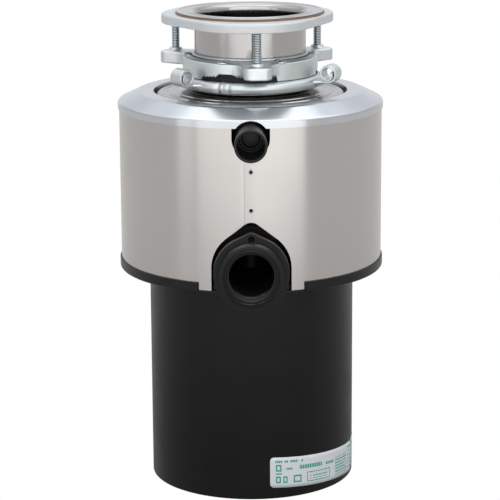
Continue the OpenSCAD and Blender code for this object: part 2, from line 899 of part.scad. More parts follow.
module lower_mounting_ring() {
    zc = lock_z + bead_rr;
    flange_in_r = neck_r + container_wall + 1;
    color([0.74, 0.78, 0.78])
        union() {
            rotate_extrude()
                polygon(concat(
                    [[flange_in_r, lock_z], [bead_cr, lock_z]],
                    arc(bead_cr, zc, bead_rr, -90, 90, 10),
                    arc(bead_cr, zc, bead_rr - 2, 90, -90, 10),
                    [[flange_in_r, lock_z + 2]]
                ));
            for (a = ear_angles)
                facing(a)
                    rolled_ear();
        }
}

// One screw lug of the upper ring: a hollow boss on a short arm, with its thread collar
module screw_lug() {
    top = upper_top_z - 1;
    arm = screw_pitch_r - upper_r + 3;
    difference() {
        union() {
            rod(boss_w_r, top - screw_lug_h, screw_lug_h, 0, -screw_pitch_r);
            translate([-boss_w_r, -screw_pitch_r, top - screw_lug_h])
                cube([2 * boss_w_r, arm, screw_lug_h]);
            rod(4.5, top - eps, collar_h, 0, -screw_pitch_r);
        }
        rod(boss_w_r - 2, top - screw_lug_h - 1, screw_lug_h - 1, 0, -screw_pitch_r);
        translate([-boss_w_r + 2, -screw_pitch_r, top - screw_lug_h - 1])
            cube([2 * boss_w_r - 4, arm - 2, screw_lug_h - 1]);
        rod(screw_r + run_gap, top - 6, 12, 0, -screw_pitch_r);
    }
}

module upper_mounting_ring() {
    color([0.76, 0.79, 0.76])
        difference() {
            union() {
                rotate_extrude()
                    polygon([
                        [upper_r - upper_wall, upper_z], [upper_r, upper_z], [upper_r, upper_top_z - 2],
                        [upper_r - 2, upper_top_z], [sleeve_r + 0.4, upper_top_z],
                        [sleeve_r + 0.4, upper_top_z - 2], [upper_r - upper_wall, upper_top_z - 2]
                    ]);
                for (a = screw_angles)
                    facing(a)
                        screw_lug();
                for (a = ear_angles)
                    rotate([0, 0, a - 90 - 6])
                        rotate_extrude(angle = 34)
                            translate([upper_r - 1, upper_z - 1.6])
                                square([3.4, 2]);
            }
            rod(upper_r - upper_wall, upper_z - 3, upper_h + 1);
        }
}

module snap_ring() {
    color([0.66, 0.7, 0.78])
        difference() {
            band(sleeve_r + 0.1, sleeve_r + 2.6, upper_top_z + seat, 1.8);
            translate([-2, sleeve_r - 5, upper_top_z - 1])
                cube([4, 15, 5]);
        }
}

module mounting_screw(a) {
    screw_z = upper_top_z - screw_lug_h + 1;
    color([0.66, 0.72, 0.78])
        facing(a)
            rod(screw_r, screw_z, backup_z - 0.1 - screw_z, 0, -screw_pitch_r);
}

module mounting_screw_front() {
    mounting_screw(screw_angles[0]);
}

module mounting_screw_right() {
    mounting_screw(screw_angles[1]);
}

module mounting_screw_left() {
    mounting_screw(screw_angles[2]);
}

// Corner i of the hexagon that the centres of the backup flange's rounded corners make
function backup_corner(i) =
    let (
        a = screw_angles[0] - 90 + 60 * i,
        here = (i % 2 == 0 ? backup_lobe : backup_flat) - backup_round,
        next = (i % 2 == 0 ? backup_flat : backup_lobe) - backup_round,
        along = (next - here * cos(60)) / sin(60)
    )
    [here * cos(a) - along * sin(a), here * sin(a) + along * cos(a)];

// Six sides, in turn at a screw and between two screws, with large rounded corners
module backup_outline() {
    corners = [for (i = [0:5]) backup_corner(i)];
    for (c = corners)
        translate(c)
            circle(r = backup_round);
    polygon([
        for (i = [0:5], s = [0, 1])
            let (a = screw_angles[0] - 90 + 60 * (i + s))
            corners[i] + backup_round * [cos(a), sin(a)]
    ]);
}

// The loose flange hangs a little to the left and to the front, as far as its bore lets it
module backup_flange() {
    color([0.78, 0.8, 0.82])
        translate([backup_shift[0], backup_shift[1], backup_z])
            difference() {
                linear_extrude(height = backup_h)
                    backup_outline();
                translate([0, 0, -1])
                    cylinder(r = backup_bore_r, h = backup_h + 2);
                translate([0, 0, -1])
                    cylinder(r = backup_flat - 3, h = backup_h - 1.5);
            }
}

module fibre_gasket() {
    color([0.45, 0.29, 0.2])
        band(sleeve_r + gap, fibre_r, backup_top_z + seat, fibre_t - 2 * seat);
}

module sink_flange() {
    lip_rr = 3;
    color([0.72, 0.69, 0.67])
        rotate_extrude()
            polygon(concat(
                [[sleeve_r, sleeve_z], [sleeve_r, flange_z], [sink_flange_r, flange_z]],
                [[sink_flange_r, flange_z + flange_lip_t]],
                arc(throat_r + lip_rr, flange_z + flange_lip_t - lip_rr, lip_rr, 90, 180, 5),
                [[throat_r, sleeve_z]]
            ));
}

motor_can();
lower_end_frame();
lower_bearing();
terminal_cover();
cover_screws();
ground_screw();
overload_protector();
reset_button();
reset_spring();
through_bolts();
stator_core();
stator_windings();
motor_shaft();
rotor_core();
rotor_end_rings();
centrifugal_actuator();
actuator_spring();
start_switch();
switch_lever();
rating_label();
drain_chamber();
outlet_gasket();
upper_bearing();
shaft_seal();
container_gasket();
container_screws();
shredder_ring();
turntable();
lug_pins();
swivel_lug_a();
swivel_lug_b();
turntable_nut();
grind_container();
dishwasher_inlet();
inlet_plug();
base_ring();
shell_wrap();
shell_rivets();
insulation_foam();
cap_ring();
mounting_gasket();
splash_baffle();
lower_mounting_ring();
upper_mounting_ring();
snap_ring();
mounting_screw_front();
mounting_screw_right();
mounting_screw_left();
backup_flange();
fibre_gasket();
sink_flange();
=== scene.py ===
# %% [markdown]
# # A kitchen garbage disposal
#
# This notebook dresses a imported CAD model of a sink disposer. The CAD gives every piece its place and
# size. Each cell below makes one piece or one finish: thin pressed steel, spun stainless, satin enamel,
# moulded plastic and rubber. Lengths in the code are millimetres, and a mesh is written in metres.

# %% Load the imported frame
import math

import bmesh
import bpy
import numpy as np
from mathutils import Matrix


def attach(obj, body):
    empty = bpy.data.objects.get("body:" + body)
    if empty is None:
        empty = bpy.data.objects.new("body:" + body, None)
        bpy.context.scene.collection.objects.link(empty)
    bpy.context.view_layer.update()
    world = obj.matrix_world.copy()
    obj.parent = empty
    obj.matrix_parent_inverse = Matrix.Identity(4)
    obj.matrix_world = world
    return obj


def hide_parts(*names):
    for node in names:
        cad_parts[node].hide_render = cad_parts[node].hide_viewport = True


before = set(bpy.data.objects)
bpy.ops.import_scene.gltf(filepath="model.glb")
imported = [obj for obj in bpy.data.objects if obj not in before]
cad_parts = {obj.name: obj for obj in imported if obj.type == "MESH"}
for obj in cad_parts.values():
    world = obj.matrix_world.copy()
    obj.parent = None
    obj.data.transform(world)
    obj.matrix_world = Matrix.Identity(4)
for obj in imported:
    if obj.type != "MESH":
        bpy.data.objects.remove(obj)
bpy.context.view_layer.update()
MM = 0.001

# %% [markdown]
# ## Camera
#
# A product shot is taken from far away with a long lens, so that upright edges stay parallel. The camera's
# axes are worked out from two angles, how far it tips down and how far it rolls, and become the columns
# of its matrix. That is more exact than a tracking constraint, which can't roll.

# %% Set the camera
LENS = 154.8
CAMERA_PLACE = (-0.001, -1.653, 0.5718)
PITCH = math.radians(13.35)
ROLL = math.radians(-0.35)


def camera_matrix(place, pitch, roll):
    """Forward tips down by pitch. Right and up are level and square to it, then turn about it by roll."""
    forward = np.array([0, math.cos(pitch), -math.sin(pitch)])
    level = np.array([1.0, 0, 0])
    upright = np.array([0, math.sin(pitch), math.cos(pitch)])
    right = level * math.cos(roll) + upright * math.sin(roll)
    up = upright * math.cos(roll) - level * math.sin(roll)
    columns = np.column_stack([right, up, -forward, np.array(place)])
    return Matrix([*columns.tolist(), [0, 0, 0, 1]])


camera = bpy.data.objects.new("camera", bpy.data.cameras.new("camera"))
bpy.context.scene.collection.objects.link(camera)
camera.data.lens = LENS
camera.data.sensor_width = 36
camera.data.clip_start = 0.05
camera.data.clip_end = 50
camera.matrix_world = camera_matrix(CAMERA_PLACE, PITCH, ROLL)
bpy.context.scene.camera = camera
bpy.context.scene.view_settings.view_transform = "Standard"
print("camera lens", LENS, "mm")

# %% [markdown]
# ## Light
#
# Bare steel has no colour of its own to show: what is seen on it is the room. Two wide panels stand side by
# side in front and make the broad bright band on the shell, the right one brighter than the left. A dimmer
# one stands at the left, and a large one hangs overhead. The walls are a warm mid grey near the floor,
# nearly white above and pale behind the object. The world shader draws them, and is plain white where the
# camera sees it directly.

# %% Node helpers
WHITE = (1.0, 1.0, 1.0, 1.0)


def set_inputs(node, values):
    """Sets a node's inputs by name. An underscore in a name stands for a space."""
    for label, value in values.items():
        node.inputs[label.replace("_", " ")].default_value = value
    return node


def add_node(tree, kind, **values):
    """A shader node of that kind with its inputs set."""
    return set_inputs(tree.nodes.new("ShaderNode" + kind), values)


def split_axes(tree, vector):
    """The x, y and z of a vector, as three outputs."""
    node = add_node(tree, "SeparateXYZ")
    tree.links.new(vector, node.inputs[0])
    return node.outputs


def range_node(tree, value, low, high):
    """Maps low..high to 0..1, held at the ends."""
    node = add_node(tree, "MapRange", From_Min=low, From_Max=high)
    tree.links.new(value, node.inputs["Value"])
    return node.outputs["Result"]


def ramp_node(tree, value, stops):
    """A colour ramp through stops of (position, colour)."""
    node = add_node(tree, "ValToRGB")
    band = node.color_ramp
    for element, (spot, colour) in zip(band.elements, (stops[0], stops[-1])):
        element.position = spot
        element.color = (*colour, 1)
    for spot, colour in stops[1:-1]:
        band.elements.new(spot).color = (*colour, 1)
    tree.links.new(value, node.inputs["Fac"])
    return node.outputs["Color"]


def mix_colour(tree, mask, first, second):
    """first where the mask is 0 and second where it is 1. Each is a colour or an output. A Mix node keeps its
    colours at inputs 6 and 7 and output 2."""
    node = add_node(tree, "Mix")
    node.data_type = "RGBA"
    tree.links.new(mask, node.inputs[0])
    for socket, value in ((node.inputs[6], first), (node.inputs[7], second)):
        if isinstance(value, tuple):
            socket.default_value = (*value, 1)
        else:
            tree.links.new(value, socket)
    return node.outputs[2]


def mix_shader(tree, factor, first, second):
    """first where the factor is 0 and second where it is 1."""
    node = add_node(tree, "MixShader")
    for socket, value in zip(node.inputs, (factor, first, second)):
        tree.links.new(value, socket)
    return node.outputs[0]


# %% Panels


def panel(name, place, look_at, width, height, radiance):
    """A flat lamp. Its power is radiance times pi times its area, so that its face has that brightness."""
    data = bpy.data.lights.new(name, "AREA")
    data.shape = "RECTANGLE"
    data.size = width
    data.size_y = height
    data.energy = radiance * math.pi * width * height
    data.spread = math.pi
    lamp = bpy.data.objects.new(name, data)
    bpy.context.scene.collection.objects.link(lamp)
    away = np.array(place, float) - np.array(look_at, float)
    away /= np.linalg.norm(away)
    side = np.cross([0, 0, 1.0], away) if abs(away[2]) < 0.99 else np.array([1.0, 0, 0])
    side /= np.linalg.norm(side)
    up = np.cross(away, side)
    lamp.matrix_world = Matrix([*np.column_stack([side, up, away, place]).tolist(), [0, 0, 0, 1]])
    lamp.visible_camera = False


panel("front_panel_left", (-0.49, -0.95, 0.62), (-0.49, 0, 0.62), 0.98, 1.28, 0.74)
panel("front_panel_right", (0.49, -0.95, 0.62), (0.49, 0, 0.62), 0.98, 1.28, 0.93)
panel("left_panel", (-1.15, -0.78, 0.6), (0, 0, 0.6), 0.36, 1.2, 0.52)
panel("top_panel", (0.1, 0.1, 1.5), (0.1, 0.1, 0), 1.5, 1.5, 0.82)
print("panels", len(bpy.data.lights))

# %% Room
WALL_STOPS = [(0.0, (0.50, 0.475, 0.45)), (0.5, (0.60, 0.60, 0.60)), (0.7, (1.00, 1.03, 1.07)),
              (1.0, (0.98, 1.02, 1.06))]
WALL_BEHIND = (0.80, 0.82, 0.86)
world = bpy.data.worlds.new("room")
bpy.context.scene.world = world
world.use_nodes = True
room = world.node_tree
room.nodes.clear()
_, way_y, way_z = split_axes(room, add_node(room, "TexCoord").outputs["Generated"])
wall_colour = ramp_node(room, range_node(room, way_z, -0.3, 1.0), WALL_STOPS)
wall_colour = mix_colour(room, range_node(room, way_y, 0.72, 0.93), wall_colour, WALL_BEHIND)
walls = add_node(room, "Background")
room.links.new(wall_colour, walls.inputs["Color"])
seen = add_node(room, "Background", Color=WHITE)
camera_ray = add_node(room, "LightPath").outputs["Is Camera Ray"]
choice = mix_shader(room, camera_ray, walls.outputs[0], seen.outputs[0])
room.links.new(choice, add_node(room, "OutputWorld").inputs["Surface"])

# %% [markdown]
# The floor is a plain sheet just under the base. It gives off its own light, with a painted shadow: dim near
# the object and paler further off, so that the black can mirrors it. The camera sees it as white, and from
# below it is clear.

# %% Floor
FLOOR_DROP = 0.0002
FLOOR_NEAR = (0.36, 0.355, 0.35)
FLOOR_FAR = (0.68, 0.67, 0.66)
floor_mesh = bpy.data.meshes.new("floor")
floor_corners = [(x, y, -FLOOR_DROP) for x, y in ((-9, -9), (9, -9), (9, 9), (-9, 9))]
floor_mesh.from_pydata(floor_corners, [], [(0, 1, 2, 3)])
floor = bpy.data.objects.new("floor", floor_mesh)
bpy.context.scene.collection.objects.link(floor)
floor_paint = bpy.data.materials.new("floor_paint")
floor_paint.use_nodes = True
paint = floor_paint.node_tree
paint.nodes.clear()
distance = add_node(paint, "VectorMath")
distance.operation = "LENGTH"
paint.links.new(add_node(paint, "TexCoord").outputs["Object"], distance.inputs[0])
# Painted shadow: the floor's light is dimmer near the object, as if the object shaded it.
far_off = range_node(paint, distance.outputs["Value"], 0.12, 0.85)
dim = add_node(paint, "Emission")
paint.links.new(mix_colour(paint, far_off, FLOOR_NEAR, FLOOR_FAR), dim.inputs["Color"])
bright = add_node(paint, "Emission", Color=WHITE)
camera_ray = add_node(paint, "LightPath").outputs["Is Camera Ray"]
from_above = mix_shader(paint, camera_ray, dim.outputs[0], bright.outputs[0])
backface = add_node(paint, "NewGeometry").outputs["Backfacing"]
clear = add_node(paint, "BsdfTransparent").outputs[0]
both_sides = mix_shader(paint, backface, from_above, clear)
paint.links.new(both_sides, add_node(paint, "OutputMaterial").inputs["Surface"])
floor_mesh.materials.append(floor_paint)

# %% [markdown]
# ## Meshes from arrays
#
# Nearly every piece of this object is turned, pressed or drawn, so one profile carried round an axis or
# along a path describes it. A profile is written as corners, and a corner may carry a fillet radius,
# because no pressed or moulded edge is truly sharp. The faces come from one rule for any grid of points:
# each cell joins a point to its three neighbours.

# %% Grid, fillet and revolve helpers
SMOOTH_BELOW = math.radians(32)
WELD = 0.002


def grid_faces(rows, columns, wrap_rows=False, wrap_columns=True):
    """Cell (i, j) joins point i, j to i + 1, j, then i + 1, j + 1 and i, j + 1. The count starts again at 0
    where the grid wraps."""
    i = np.arange(rows if wrap_rows else rows - 1)
    j = np.arange(columns if wrap_columns else columns - 1)
    i, j = np.meshgrid(i, j, indexing="ij")
    i2 = (i + 1) % rows
    j2 = (j + 1) % columns
    cells = [i * columns + j, i2 * columns + j, i2 * columns + j2, i * columns + j2]
    return np.stack(cells, axis=-1).reshape(-1, 4)


def filleted(corners, steps=5):
    """A corner (x, y, radius) becomes an arc. It touches each side at radius * tan(turn / 2) from the corner,
    and its points run from one touching point to the other, about a centre that both sides are square to."""
    out = []
    count = len(corners)
    for k, corner in enumerate(corners):
        here = np.array(corner[:2], float)
        radius = corner[2] if len(corner) > 2 else 0
        if radius == 0:
            out.append(here)
            continue
        back = np.array(corners[k - 1][:2], float) - here
        on = np.array(corners[(k + 1) % count][:2], float) - here
        back /= np.linalg.norm(back)
        on /= np.linalg.norm(on)
        half = math.acos(np.clip(back @ on, -1, 1)) / 2
        reach = radius / math.tan(half)
        centre = here + (back + on) / np.linalg.norm(back + on) * radius / math.sin(half)
        first = here + back * reach - centre
        last = here + on * reach - centre
        turn = math.atan2(first[0] * last[1] - first[1] * last[0], first @ last)
        for t in np.linspace(0, turn, steps + 1):
            c, s = math.cos(t), math.sin(t)
            out.append(centre + np.array([c * first[0] - s * first[1], s * first[0] + c * first[1]]))
    return np.array(out)


def polar(r, a, z):
    """Points (r sin a, -r cos a, z), at distance r from the Z axis. Angle 0 faces -Y."""
    return np.stack(np.broadcast_arrays(r * np.sin(a), -r * np.cos(a), z), axis=-1)


def full_turn(steps):
    """That many angles, evenly round a circle."""
    return np.arange(steps) * 2 * np.pi / steps


def revolved(profile, steps=160):
    """A profile of (r, z) points carried round the Z axis. Rows follow the profile and columns the turn."""
    return polar(profile[:, :1], full_turn(steps), profile[:, 1:2])


def piped(profile, height, steps=96):
    """A profile of (r, y) points carried round a level axis along Y at that height."""
    a = full_turn(steps)
    r = profile[:, :1]
    return np.stack(np.broadcast_arrays(r * np.sin(a), profile[:, 1:2], height + r * np.cos(a)), axis=-1)


def mesh_piece(name, blocks, body, slot, nodes=()):
    """Joins blocks of (points in mm, faces) into one object. Doubles are merged and faces turned outward."""
    clouds = [np.asarray(points, float).reshape(-1, 3) for points, _ in blocks]
    starts = np.cumsum([0] + [len(cloud) for cloud in clouds])
    faces = [(np.asarray(face) + start).tolist() for start, (_, some) in zip(starts, blocks) for face in some]
    raw = bpy.data.meshes.new(name + "_raw")
    raw.from_pydata((np.concatenate(clouds) * MM).tolist(), [], faces)
    bm = bmesh.new()
    bm.from_mesh(raw)
    bpy.data.meshes.remove(raw)
    bmesh.ops.remove_doubles(bm, verts=bm.verts, dist=WELD * MM)
    bmesh.ops.dissolve_degenerate(bm, edges=bm.edges, dist=WELD * MM)
    loose = [v for v in bm.verts if not v.link_faces]
    bmesh.ops.delete(bm, geom=loose, context="VERTS")
    bmesh.ops.recalc_face_normals(bm, faces=bm.faces)
    mesh = bpy.data.meshes.new(name)
    bm.to_mesh(mesh)
    bm.free()
    mesh.polygons.foreach_set("use_smooth", np.ones(len(mesh.polygons), bool))
    mesh.set_sharp_from_angle(angle=SMOOTH_BELOW)
    piece = bpy.data.objects.new(name, mesh)
    bpy.context.scene.collection.objects.link(piece)
    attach(piece, body)
    if nodes:
        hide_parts(*nodes)
    finish_of(piece, slot)
    print(name, len(mesh.polygons), "faces")
    return piece


def ring_block(points):
    """The faces of a grid that wraps round both its rows and its columns."""
    rows, columns = points.shape[:2]
    return points, grid_faces(rows, columns, wrap_rows=True)


def turned_piece(name, corners, body, slot, nodes=(), steps=160, fillet_steps=5):
    """A closed profile of (r, z, fillet radius) corners, revolved about Z."""
    points = revolved(filleted(corners, fillet_steps), steps)
    return mesh_piece(name, [ring_block(points)], body, slot, nodes)

# %% [markdown]
# ## Shared effects
#
# Each effect that several finishes use is a node group with its own inputs: turned grain for spun and brushed
# metal, a slow mottle, a fine moulded skin, wear on edges and a little dust on what faces up, which on the
# rubber is also a painted highlight.
# The groups put out masks and heights only, and each material mixes them in its own way.

# %% Build the node groups


def new_group(name, inputs, outputs):
    """An empty shader group with float inputs (name, value) and float outputs, and its two end nodes."""
    tree = bpy.data.node_groups.new(name, "ShaderNodeTree")
    for label, value in inputs:
        socket = tree.interface.new_socket(name=label, in_out="INPUT", socket_type="NodeSocketFloat")
        socket.default_value = value
    for label in outputs:
        tree.interface.new_socket(name=label, in_out="OUTPUT", socket_type="NodeSocketFloat")
    return tree, tree.nodes.new("NodeGroupInput"), tree.nodes.new("NodeGroupOutput")


def math_node(tree, operation, first, second=None, third=None):
    """One Math node. Each input is a number or another node's output."""
    node = tree.nodes.new("ShaderNodeMath")
    node.operation = operation
    for socket, value in zip(node.inputs, (first, second, third)):
        if value is None:
            continue
        if isinstance(value, (int, float)):
            socket.default_value = value
        else:
            tree.links.new(value, socket)
    return node.outputs[0]


def noise_node(tree, vector, scale, detail=3.0, roughness=0.55):
    """A noise texture on that vector. The scale may be a number or an output."""
    node = add_node(tree, "TexNoise", Detail=detail, Roughness=roughness)
    if isinstance(scale, (int, float)):
        node.inputs["Scale"].default_value = scale
    else:
        tree.links.new(scale, node.inputs["Scale"])
    tree.links.new(vector, node.inputs["Vector"])
    return node.outputs["Fac"]


def object_axes(tree):
    """The object coordinates, whole and split into x, y and z."""
    whole = add_node(tree, "TexCoord").outputs["Object"]
    return whole, split_axes(tree, whole)


def turned_grain_group():
    """Noise that is long round the Z axis and short across it. Its vector is (x / r * Streak, y / r * Streak,
    (r + 1.3 z) * Fineness), where r is the distance from the axis, so it has no seam."""
    tree, ends, out = new_group("turned_grain", [("Fineness", 1400), ("Streak", 3)], ["Height", "Bands"])
    _, axes = object_axes(tree)
    around = math_node(tree, "SQRT", math_node(
        tree, "ADD", math_node(tree, "MULTIPLY", axes["X"], axes["X"]),
        math_node(tree, "MULTIPLY", axes["Y"], axes["Y"])))
    held = math_node(tree, "MAXIMUM", around, 0.0005)
    across = math_node(tree, "MULTIPLY_ADD", axes["Z"], 1.3, around)
    vector = add_node(tree, "CombineXYZ")
    for label in ("X", "Y"):
        unit = math_node(tree, "DIVIDE", axes[label], held)
        tree.links.new(math_node(tree, "MULTIPLY", unit, ends.outputs["Streak"]), vector.inputs[label])
    tree.links.new(math_node(tree, "MULTIPLY", across, ends.outputs["Fineness"]), vector.inputs["Z"])
    fine = noise_node(tree, vector.outputs[0], 1.0, detail=4.0, roughness=0.7)
    bands = noise_node(tree, vector.outputs[0], 0.17, detail=2.0)
    tree.links.new(fine, out.inputs["Height"])
    tree.links.new(bands, out.inputs["Bands"])
    return tree


def mottle_group():
    """Slow cloudy change from 0 to 1, and a sparse speckle."""
    tree, ends, out = new_group("mottle", [("Scale", 35), ("Speckle Scale", 900)], ["Cloud", "Speckle"])
    place, _ = object_axes(tree)
    cloud = noise_node(tree, place, ends.outputs["Scale"], detail=4.0, roughness=0.6)
    speckle = noise_node(tree, place, ends.outputs["Speckle Scale"], detail=2.0)
    tree.links.new(range_node(tree, cloud, 0.3, 0.7), out.inputs["Cloud"])
    tree.links.new(range_node(tree, speckle, 0.6, 0.75), out.inputs["Speckle"])
    return tree


def moulded_skin_group():
    """The fine even texture of a moulded or cast face, with a coarser ripple under it."""
    tree, ends, out = new_group("moulded_skin", [("Scale", 1500)], ["Height"])
    place, _ = object_axes(tree)
    fine = noise_node(tree, place, ends.outputs["Scale"], detail=3.0, roughness=0.65)
    coarse = noise_node(tree, place, 120.0, detail=2.0)
    tree.links.new(math_node(tree, "MULTIPLY_ADD", coarse, 1.5, fine), out.inputs["Height"])
    return tree


def edge_wear_group():
    """Bare patches where the surface is convex: pointiness above a threshold, broken up by noise."""
    tree, ends, out = new_group("edge_wear", [("Amount", 0.5)], ["Mask"])
    place, _ = object_axes(tree)
    pointiness = add_node(tree, "NewGeometry").outputs["Pointiness"]
    ridge = range_node(tree, pointiness, 0.515, 0.58)
    patches = range_node(tree, noise_node(tree, place, 180.0, detail=4.0), 0.4, 0.68)
    mask = math_node(tree, "MULTIPLY", math_node(tree, "MULTIPLY", ridge, patches), ends.outputs["Amount"])
    tree.links.new(math_node(tree, "MINIMUM", mask, 1.0), out.inputs["Mask"])
    return tree


def dust_and_sheen_group():
    """Dust, and on the rubber also a painted highlight, where the face looks up: the normal's height above
    0.6, times a soft noise.
    """
    tree, ends, out = new_group("dust", [("Amount", 0.3)], ["Mask"])
    place, _ = object_axes(tree)
    _, _, upward = split_axes(tree, add_node(tree, "NewGeometry").outputs["Normal"])
    facing_up = range_node(tree, upward, 0.6, 1.0)
    soft = range_node(tree, noise_node(tree, place, 260.0, detail=5.0, roughness=0.7), 0.35, 0.75)
    mask = math_node(tree, "MULTIPLY", math_node(tree, "MULTIPLY", facing_up, soft), ends.outputs["Amount"])
    tree.links.new(mask, out.inputs["Mask"])
    return tree


TURNED_GRAIN = turned_grain_group()
MOTTLE = mottle_group()
MOULDED_SKIN = moulded_skin_group()
EDGE_WEAR = edge_wear_group()
DUST_AND_SHEEN = dust_and_sheen_group()
print("groups", [g.name for g in bpy.data.node_groups])

# %% [markdown]
# ## Finishes
#
# Every finish starts from the same three steps: place the effects it needs, mix a base colour from them,
# and set roughness and bump. Plain numbers go straight on the shader's own sockets. Metals take the turned
# grain, and the satin steel also an anisotropic highlight that is drawn out square to its brushing, as on
# a real brushed shell. Paint, plastic and rubber take the moulded skin.

# %% Material helpers
FINISHES = {}


def place_group(tree, group, **values):
    """A group in a material, with its inputs set."""
    node = add_node(tree, "Group")
    node.node_tree = group
    return set_inputs(node, values)


def start_finish(name, **sockets):
    """A new material with these plain values on its Principled BSDF."""
    made = bpy.data.materials.new(name)
    made.use_nodes = True
    shader = set_inputs(made.node_tree.nodes["Principled BSDF"], sockets)
    FINISHES[name] = made
    return made.node_tree, shader


def link_bump(tree, shader, height, distance):
    """Feeds a height to the shader's normal. distance is the relief in mm."""
    bump = add_node(tree, "Bump", Strength=1.0, Distance=distance * MM)
    tree.links.new(height, bump.inputs["Height"])
    tree.links.new(bump.outputs["Normal"], shader.inputs["Normal"])


def painted_shade_of(tree):
    """The piece's own painted shade attribute, 0 in the open and 1 where shade is painted: in a thread's
    root, deep in the throat or low on the container behind the keyhole.
    """
    painted_shade = add_node(tree, "Attribute")
    painted_shade.attribute_name = "painted_shade"
    return painted_shade.outputs["Fac"]


def axes_of(piece):
    """The x, y and z of a piece's points, in mm."""
    flat = np.empty(len(piece.data.vertices) * 3)
    piece.data.vertices.foreach_get("co", flat)
    return flat.reshape(-1, 3).T / MM


def add_painted_shade(piece, formula):
    """Stores formula(x, y, z in mm), kept between 0 and 1, at every point of a piece, as its painted shade.
    """
    values = np.clip(formula(*axes_of(piece)), 0, 1)
    piece.data.attributes.new("painted_shade", "FLOAT", "POINT").data.foreach_set("value", values)


def turned_metal(name, bright, dark, rough, fineness=1400.0, streak=3.0, relief=0.004, wear=0.2,
                 dust=0.1, anisotropy=0.0, coat=0.0):
    """Metal with turning or brushing lines. They shade its colour from dark to bright and vary its gloss."""
    tree, shader = start_finish(name, Metallic=1.0, Anisotropic=anisotropy, Coat_Weight=coat)
    grain = place_group(tree, TURNED_GRAIN, Fineness=fineness, Streak=streak)
    cloud = place_group(tree, MOTTLE, Scale=28.0)
    worn = place_group(tree, EDGE_WEAR, Amount=wear)
    dust_and_sheen = place_group(tree, DUST_AND_SHEEN, Amount=dust)
    lines = range_node(tree, grain.outputs["Height"], 0.25, 0.75)
    shaded = math_node(tree, "MULTIPLY", lines, 0.6)
    broad = math_node(tree, "MULTIPLY_ADD", cloud.outputs["Cloud"], 0.4, shaded)
    base = mix_colour(tree, broad, dark, bright)
    base = mix_colour(tree, worn.outputs["Mask"], base, tuple(min(1.0, c * 1.15) for c in bright))
    base = mix_colour(tree, dust_and_sheen.outputs["Mask"], base, (0.32, 0.31, 0.30))
    # Painted shade: where the shade attribute is 1, the colour goes nearly black.
    base = mix_colour(tree, painted_shade_of(tree), base, tuple(c * 0.07 for c in dark))
    tree.links.new(base, shader.inputs["Base Color"])
    gloss = math_node(tree, "MULTIPLY_ADD", lines, rough * 0.35, rough * 0.72)
    gloss = math_node(tree, "MULTIPLY_ADD", cloud.outputs["Cloud"], rough * 0.22, gloss)
    tree.links.new(math_node(tree, "MULTIPLY_ADD", dust_and_sheen.outputs["Mask"], 0.3, gloss),
                   shader.inputs["Roughness"])
    link_bump(tree, shader, grain.outputs["Height"], relief)
    if anisotropy:
        tangent = add_node(tree, "Tangent")
        tangent.direction_type = "RADIAL"
        tangent.axis = "Z"
        tree.links.new(tangent.outputs[0], shader.inputs["Tangent"])
        shader.inputs["Anisotropic Rotation"].default_value = 0.25
    return tree, shader


def moulded(name, colour, pale, rough, skin=1500.0, relief=0.012, wear=0.3, dust=0.12, cloudy=1.25,
            **sockets):
    """Paint, plastic, rubber or casting: a fine skin, cloudy gloss, rubbed edges and a little dust, which on
    the rubber is also a painted highlight.
    """
    tree, shader = start_finish(name, **sockets)
    texture = place_group(tree, MOULDED_SKIN, Scale=skin)
    cloud = place_group(tree, MOTTLE, Scale=45.0, Speckle_Scale=skin * 0.5)
    worn = place_group(tree, EDGE_WEAR, Amount=wear)
    dust_and_sheen = place_group(tree, DUST_AND_SHEEN, Amount=dust)
    base = mix_colour(tree, cloud.outputs["Cloud"], colour, tuple(c * cloudy for c in colour))
    base = mix_colour(tree, worn.outputs["Mask"], base, pale)
    # Dust colour; with the rubber's large amount it is also a painted highlight on the port ring's top.
    base = mix_colour(tree, dust_and_sheen.outputs["Mask"], base, (0.26, 0.235, 0.21))
    tree.links.new(base, shader.inputs["Base Color"])
    gloss = math_node(tree, "MULTIPLY_ADD", cloud.outputs["Cloud"], rough * 0.25, rough * 0.85)
    tree.links.new(math_node(tree, "MULTIPLY_ADD", dust_and_sheen.outputs["Mask"], 0.35, gloss),
                   shader.inputs["Roughness"])
    link_bump(tree, shader, texture.outputs["Height"], relief)
    return tree, shader


# %% Metals
turned_metal("brushed_stainless", (0.565, 0.545, 0.532), (0.535, 0.515, 0.50), 0.23, fineness=5200.0,
             streak=1.2, relief=0.0003, wear=0.0, dust=0.0, anisotropy=0.6)
turned_metal("polished_stainless", (0.49, 0.48, 0.475), (0.46, 0.45, 0.445), 0.15, fineness=3000.0,
             streak=1.0, relief=0.0003, wear=0.0, dust=0.0, anisotropy=0.3)
turned_metal("stainless", (0.48, 0.47, 0.46), (0.40, 0.39, 0.385), 0.20, fineness=2200.0, streak=1.0,
             relief=0.0010, wear=0.0, dust=0.08)
turned_metal("ground_steel", (0.72, 0.73, 0.75), (0.60, 0.61, 0.63), 0.24, fineness=3000.0, relief=0.002)
turned_metal("zinc_steel", (0.68, 0.70, 0.72), (0.55, 0.57, 0.60), 0.36, fineness=700.0, streak=12.0)
turned_metal("spring_steel", (0.62, 0.64, 0.68), (0.48, 0.50, 0.54), 0.28, fineness=2200.0, relief=0.003)
turned_metal("lamination_steel", (0.34, 0.35, 0.37), (0.20, 0.205, 0.22), 0.5, fineness=9000.0, streak=1.0,
             relief=0.03, wear=0.5)
turned_metal("bronze", (0.66, 0.46, 0.26), (0.46, 0.30, 0.15), 0.42, fineness=1500.0, relief=0.006, wear=0.4)
turned_metal("copper", (0.74, 0.34, 0.13), (0.44, 0.17, 0.06), 0.36, fineness=5200.0, streak=2.0,
             relief=0.06, coat=0.5)

